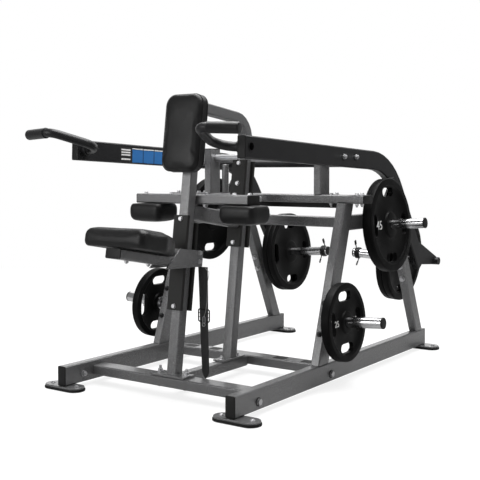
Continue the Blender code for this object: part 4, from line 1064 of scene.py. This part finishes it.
strip_screws = [on_strip("seat_slide_front", z) for z in (0.384, 0.757)]
strip_screws += [on_strip("rear_slide_front", z) for z in (0.630, 0.905, 1.001)]
bolts("strip_screws", "frame", strip_screws, flat=0.0085, height=0.006, washer=0.0105)
for side, sign in SIDES:
    cheek = [(at(sign * 0.0481, y, z), (sign, 0, 0)) for y, z in ((0.340, 0.594), (0.336, 0.556))]
    bolts("cheek_screws_" + side, "seat", cheek, flat=0.0085, height=0.006, washer=0.0100)
beam_under = [(beam_end + seat_along * far - seat_up * SEAT_BEAM[1] / 2, tuple(-seat_up))
              for far in (0.080, 0.215)]
bolts("seat_beam_nuts", "seat", beam_under, flat=0.0080, height=0.007, washer=0.0110, stud=0.004)
print("strip screws", len(strip_screws))

# %% [markdown]
# ## Arm bearings
#
# Each arm turns on a two-bolt flange bearing.  The cast housing is softened
# like the tubes, the bolts go through the arm with nuts outside, and a locking
# collar sits between housing and post.

# %% Bearings with bolts and locking collars
PIVOT = np.array(JOINTS["press_hinge"]["pos_m"])
for side, sign in SIDES:
    node = "arm_bearing_" + side
    softened(node, frame_paint, 0.003, 3)
    low, high = box_of(node)
    inner = low[0] if sign > 0 else high[0]
    ears = [(PIVOT[0], PIVOT[1] + along, PIVOT[2]) for along in (-0.0585, 0.0585)]
    face = sign * (ARM_FACE - ARM_WIDTH - 0.0123)
    heads = [((face, y, z), (-sign, 0, 0)) for x, y, z in ears]
    bolts("bearing_bolts_" + side, "press", heads, flat=0.0085, height=0.007, washer=0.0115)
    nuts = [((sign * ARM_FACE, y - 0.004, z), (sign, 0, 0)) for x, y, z in ears]
    dark_rings("bearing_rings_" + side, "press", nuts, 0.0190)
    bolts("bearing_nuts_" + side, "press", nuts, flat=0.0110, height=0.009, washer=0.0125, stud=0.005)
    ring = [(0.0, 0.0189), (0.0, 0.0270), (0.001, 0.0280), (0.011, 0.0280), (0.012, 0.0270),
            (0.012, 0.0189), (0.0, 0.0189)]
    place = (inner - sign * 0.0122, *PIVOT[1:])
    piece("locking_collar_" + side, [placed(turned_grid(ring), place, (sign, 0, 0))],
          zinc, "press")
print("bearings at", PIVOT.round(3))

# %% [markdown]
# ## Spring clips
#
# A clip is one spring wire: three turns round the horn, then two legs that
# are squeezed together to open it.  The route follows a helix about the
# horn's axis, and each leg bends outward from it.  Plastic tabs cover the
# legs' ends.

# %% Wire clips with tabs
WIRE = 0.003
CLIP_START = 0.25935
CLIP_PITCH = WIRE * 2.25
CLIP_LEG = 0.045
TAB_LEVELS = [(0.0, 0.001), (0.002, 0.0), (0.024, 0.0), (0.0265, 0.002)]
for side, sign in SIDES:
    origin, way = horn_axis("inner", side, sign)
    back = np.array((0, 1.0, 0))
    rise = np.array((0, 0, 1.0))
    rise = rise - way * rise.dot(way)
    rise = rise / np.linalg.norm(rise)
    turn = np.radians(115) + np.linspace(0, 2 * np.pi * 40 / 12, 124)
    radius = HORN_RADIUS + WIRE + 0.0012
    along = CLIP_START - CLIP_PITCH * (turn - turn[0]) / (2 * np.pi)
    spokes = back * np.cos(turn)[:, None] + rise * np.sin(turn)[:, None]
    coil = origin + way * along[:, None] + radius * spokes
    legs = []
    for end, before, where in ((coil[0], coil[1], turn[0]), (coil[-1], coil[-2], turn[-1])):
        outward = back * np.cos(where) + rise * np.sin(where)
        knee = end + (end - before) / np.linalg.norm(end - before) * 0.005
        leg = rounded_route((end, knee, knee + outward * CLIP_LEG), (0.004,), 5)
        legs.append((knee, outward, leg))
    route = [*legs[0][2][:0:-1], *coil, *legs[1][2][1:]]
    piece("clip_wire_" + side, [carried_grid(route, WIRE * 0.98, 12)],
          arm_paint, "clip_" + side, ("spring_clip_" + side,))
    tabs = []
    for (knee, outward, leg), wide in zip(legs, (0.0150, 0.0085)):
        tab = block_grid(wide, 0.0075, 0.003, TAB_LEVELS)
        tabs.append(placed(tab, knee + outward * (CLIP_LEG - 0.025), outward, tuple(way)))
    piece("clip_tabs_" + side, tabs, cap_plastic, "clip_" + side)
print("clips", 2)

# %% [markdown]
# ## Seat post pin
#
# The pin drops into holes in the post.  Its knob is turned with a waist and a
# domed face so that two fingers can pull it.

# %% Pin and knob
pin_start = at(0, 0.3263, 0.560)
waist = [(0.0008, 0.0), (0.0008, 0.0050), (0.0018, 0.0058), (0.0220, 0.0058), (0.0222, 0.0100),
         (0.0300, 0.0082), (0.0400, 0.0085), (0.0460, 0.0118)]
knob_face = dome(0.0560, 0.0070, 0.0055, 0.0055, 9, -0.9)
piece("pin_knob", [placed(turned_grid([*waist, *knob_face, (0.0618, 0.0)]), pin_start, LEAN_OUT)],
      slide_plastic, "seat_pin", ("pull_pin",))
print("pin starts", pin_start.round(3))

# %% [markdown]
# ## Belt and buckle
#
# The strap is woven webbing: a flat oval carried down its length, with one
# gentle wave, a slight slant and a pointed end.  It hangs behind the seat's
# carriage and rides with it.

# %% Hanging strap
BELT_LOW, BELT_HIGH = box_of("seat_belt")
BELT_X, BELT_Y = (BELT_LOW[:2] + BELT_HIGH[:2]) / 2
BELT_HALF = (BELT_HIGH[0] - BELT_LOW[0]) / 2
POINT = 0.030
STRAP_ROWS, STRAP_COLUMNS = 90, 28
drop = np.linspace(0, 1, STRAP_ROWS)
height = BELT_HIGH[2] - drop * (BELT_HIGH[2] - BELT_LOW[2])
left = (height - BELT_LOW[2]) / POINT
half_width = BELT_HALF * np.clip(left, 0, 1) ** 0.62 * (1 - 0.26 * drop)
sway = 0.0022 * np.sin(drop * 9.0) * drop
slant = 0.013 * drop - 0.005
turn = np.linspace(0, 2 * np.pi, STRAP_COLUMNS, endpoint=False)
flat_x = np.sign(np.cos(turn)) * np.abs(np.cos(turn)) ** 0.35
flat_y = np.sign(np.sin(turn)) * np.abs(np.sin(turn)) ** 0.6
strap_x = BELT_X + slant[:, None] + half_width[:, None] * flat_x
strap_y = BELT_Y + sway[:, None] + 0.0013 * flat_y
strap = np.stack((strap_x, strap_y, np.broadcast_to(height[:, None], strap_x.shape)), axis=-1)
lid = strap[:1].mean(axis=1, keepdims=True) + 0 * strap[:1]
belt = piece("webbing_strap", [np.concatenate((lid, strap))],
             webbing, "seat", ("seat_belt",), 60.0)
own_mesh(belt)
print("strap", np.round(BELT_HIGH - BELT_LOW, 3))


# %% Buckle
def closed_grid(route, across, radius_over, radius_across, columns=16):
    """An oval carried round a closed route, with one axis kept along a direction."""
    route = np.array(route, float)
    way = np.roll(route, -1, axis=0) - np.roll(route, 1, axis=0)
    way /= np.linalg.norm(way, axis=1)[:, None]
    across = np.array(across, float)
    over = np.cross(way, across)
    over /= np.linalg.norm(over, axis=1)[:, None]
    turn = np.linspace(0, 2 * np.pi, columns, endpoint=False)
    rings = (over[:, None] * (np.cos(turn) * radius_over)[:, None]
             + across * (np.sin(turn) * radius_across)[:, None] + route[:, None])
    return np.concatenate((rings, rings[:1]))


def upright(ring, middle):
    """A flat ring stood up across the machine, about a middle."""
    return np.column_stack((ring[:, 0], 0 * ring[:, 0], ring[:, 1])) + middle


BUCKLE_LOW, BUCKLE_HIGH = box_of("belt_buckle")
buckle_middle = (BUCKLE_LOW + BUCKLE_HIGH) / 2
buckle_size = BUCKLE_HIGH - BUCKLE_LOW
loop = rounded_ring(buckle_size[0] - 0.006, buckle_size[2] - 0.006, 0.008)
bars = [closed_grid(upright(loop, buckle_middle), (0, 1, 0), 0.003, 0.0026)]
half_bar = buckle_size[0] / 2 - 0.003
for rise in (-0.008, 0.010):
    ends = [buckle_middle + np.array((x * half_bar, 0.0034, rise)) for x in (-1, -0.4, 0.4, 1)]
    bars.append(carried_grid(ends, 0.0017, 12))
piece("buckle_frame", bars, cap_plastic, "seat", ("belt_buckle",))
print("buckle", buckle_size.round(3))

# %% [markdown]
# A thin light cord ties the pin to the belt.  It hangs from the carriage down
# the strap's edge and ends in a small snap and a ring.

# %% Lanyard of the pin
CORD = 0.0011
cord_fibre = finish("cord_fibre", (0.45, 0.45, 0.44), 0.7)
grained(cord_fibre, "Wave", 260, 0.4, 0.0002, Distortion=0.5)
TIE = ((0.012, 0.004), (0.034, 0.020), (0.026, 0.060), (0.022, 0.150), (0.014, 0.195), (0.006, 0.215))
cord_points = [np.array((BELT_X + side, BELT_Y - 0.007, BELT_HIGH[2] - down)) for side, down in TIE]
cord_route = rounded_route(cord_points, (0.012,) * 4, 6)
cord = piece("pin_lanyard", [carried_grid(cord_route, CORD, 10)], cord_fibre, "seat")
snap_middle = cord_points[-1] + np.array((0, -0.001, -0.016))
snap = upright(rounded_ring(0.012, 0.030, 0.0055), snap_middle)
eye = upright(rounded_ring(0.015, 0.015, 0.0074), snap_middle) + (0, -0.002, -0.020)
rings = [closed_grid(ring, (0, 1, 0), 0.0014, 0.0014) for ring in (snap, eye)]
hooks = piece("lanyard_snap", rings, zinc, "seat")
for part in (cord, hooks):
    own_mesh(part)
length = np.linalg.norm(np.diff(np.array(cord_points), axis=0), axis=1).sum()
print("lanyard cord", round(float(length), 3), "m")

# %% [markdown]
# ## Instruction strip
#
# A thin plate with three plain blue panels sits on the left arm's inner face.
# Its pictures and words are left out, so only panels and bars are made.

# %% Plain panels on the left arm
PANEL_TALL = 0.066
panel_face = at(-(ARM_FACE - ARM_WIDTH) + 0.0002, *ARM_FRONT)
panel_up = np.cross((1.0, 0, 0), arm_way)
panel_up = panel_up * np.sign(panel_up[2])


def panel(name, low, high, base, tall, out, paint):
    """A thin slab on the arm between two distances from the arm's front end."""
    slab = block_grid(tall, high - low, 0.001, [(0.0, 0.0), (0.0004, 0.0)])
    middle = panel_face - arm_way * (low + high) / 2 + panel_up * base + np.array((out, 0, 0))
    return piece(name, [placed(slab, middle, (1, 0, 0), tuple(arm_way))], paint, "press")


panel("strip_plate", 0.262, 0.592, -0.006, PANEL_TALL + 0.008, 0.0, panel_black)
for place in range(3):
    start = 0.352 + place * 0.080
    end = start + 0.075
    label = str(place + 1)
    panel("strip_blue_" + label, start, end, -0.009, PANEL_TALL - 0.006, 0.0004, panel_blue)
    panel("strip_head_" + label, start, end, 0.0255, 0.005, 0.0004, number_paint)
for place, rise in enumerate((0.018, 0.006, -0.006, -0.026)):
    panel("strip_bar_" + str(place + 1), 0.276, 0.338, rise, 0.007, 0.0004, number_paint)
print("panels", 3)

# %% [markdown]
# ## Pads
#
# A pad is foam on a board under stretched vinyl.  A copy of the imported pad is
# drawn in a little, remeshed into even cells and blown up by Blender's cloth
# with a small inside pressure, while its underside is held as if stapled.  The
# cover then swells between its edges as a real one does.  Sculpting could give
# the same, but the cloth finds the tension by itself.  The cover is stiff and
# its points move little, for these pads are firm.


# %% Swell a cover with cloth
CLOTH_FRAMES = 20


def inflated(thing, held):
    """The vertex places after the cloth has been blown up for twenty frames."""
    group = thing.vertex_groups.new(name="held")
    group.add([int(index) for index in held], 1.0, "REPLACE")
    cloth = thing.modifiers.new("cloth", "CLOTH")
    settings = cloth.settings
    settings.vertex_group_mass = "held"
    settings.use_pressure = True
    settings.uniform_pressure_force = 4.0
    settings.effector_weights.gravity = 0.0
    settings.quality = 6
    settings.tension_stiffness = 40
    settings.compression_stiffness = 40
    settings.bending_stiffness = 20
    cloth.point_cache.frame_start = 1
    cloth.point_cache.frame_end = CLOTH_FRAMES
    for moment in range(1, CLOTH_FRAMES + 1):
        bpy.context.scene.frame_set(moment)
    mesh = evaluated_mesh(thing)
    bpy.context.scene.frame_set(1)
    thing.modifiers.clear()
    return points_of(mesh)


# %% Blow up a cushion
def puffed(node, rise_way, base, cell=0.005, draw_in=0.0025, swell=0.0032):
    """A swollen copy of a packed pad whose vertices move no more than a set distance."""
    mesh = frame["nodes"][node].data.copy()
    with reworked(mesh, PACKED_WELD) as work:
        bmesh.ops.recalc_face_normals(work, faces=work.faces)
    made = linked(node + "_cushion", mesh)
    remesh = made.modifiers.new("cells", "REMESH")
    remesh.mode = "VOXEL"
    remesh.voxel_size = cell
    shrink = made.modifiers.new("draw_in", "DISPLACE")
    shrink.strength = -draw_in
    shrink.mid_level = 0.0
    kept = evaluated_mesh(made)
    made.modifiers.clear()
    made.data = kept
    before = points_of(kept)
    rise = (before - base) @ np.array(rise_way)
    after = inflated(made, np.flatnonzero(rise < rise.min() + 0.012))
    moved = after - before
    length = np.linalg.norm(moved, axis=1)[:, None]
    before = before + moved * np.minimum(1, swell / np.maximum(length, 1e-9))
    kept.vertices.foreach_set("co", before.astype(np.float32).ravel())
    kept.update()
    even = made.modifiers.new("even", "SMOOTH")
    even.factor = 0.5
    even.iterations = 6
    smooth = made.modifiers.new("smooth", "SUBSURF")
    smooth.levels = smooth.render_levels = 1
    finished = evaluated_mesh(made)
    bpy.data.objects.remove(made)
    done = dressed(node + "_cover", finished, vinyl, body_of(node), (node,), 80.0)
    return done


# %% The four pads
seat_base = at(0, 0, SEAT_UNDER)
chest_low, chest_high = box_of("chest_pad")
chest_middle = (chest_low + chest_high) / 2
chest_base = chest_middle + LEAN_OUT * 0.037
thigh_base = {side: at(sign * 0.2525, 0.387, 0.806) for side, sign in SIDES}
puffed("seat_pad", seat_up, seat_base)
puffed("chest_pad", -LEAN_OUT, chest_base)
for side, sign in SIDES:
    puffed("thigh_pad_" + side, (0, 0, -1.0), thigh_base[side])
print("cushions", 4, "with cloth")

# %% [markdown]
# Two welts run round the chest pad's side, where the face cover and the side
# band are sewn together.  Each is a thin roll that follows the pad's outline.

# %% Welts of the chest pad
CHEST_OUTLINE = (0.2035, 0.3345, 0.0485)
outline = rounded_ring(*CHEST_OUTLINE, 10)
round_chest = chest_middle + outline[:, :1] * np.array((1.0, 0, 0)) + outline[:, 1:2] * LEAN_UP
welts = [closed_grid(round_chest + LEAN_OUT * depth, tuple(LEAN_OUT), 0.0017, 0.0017, 10)
         for depth in (-0.016, 0.014)]
piece("chest_pad_welts", welts, vinyl, body_of("chest_pad"))
print("welts", len(welts))
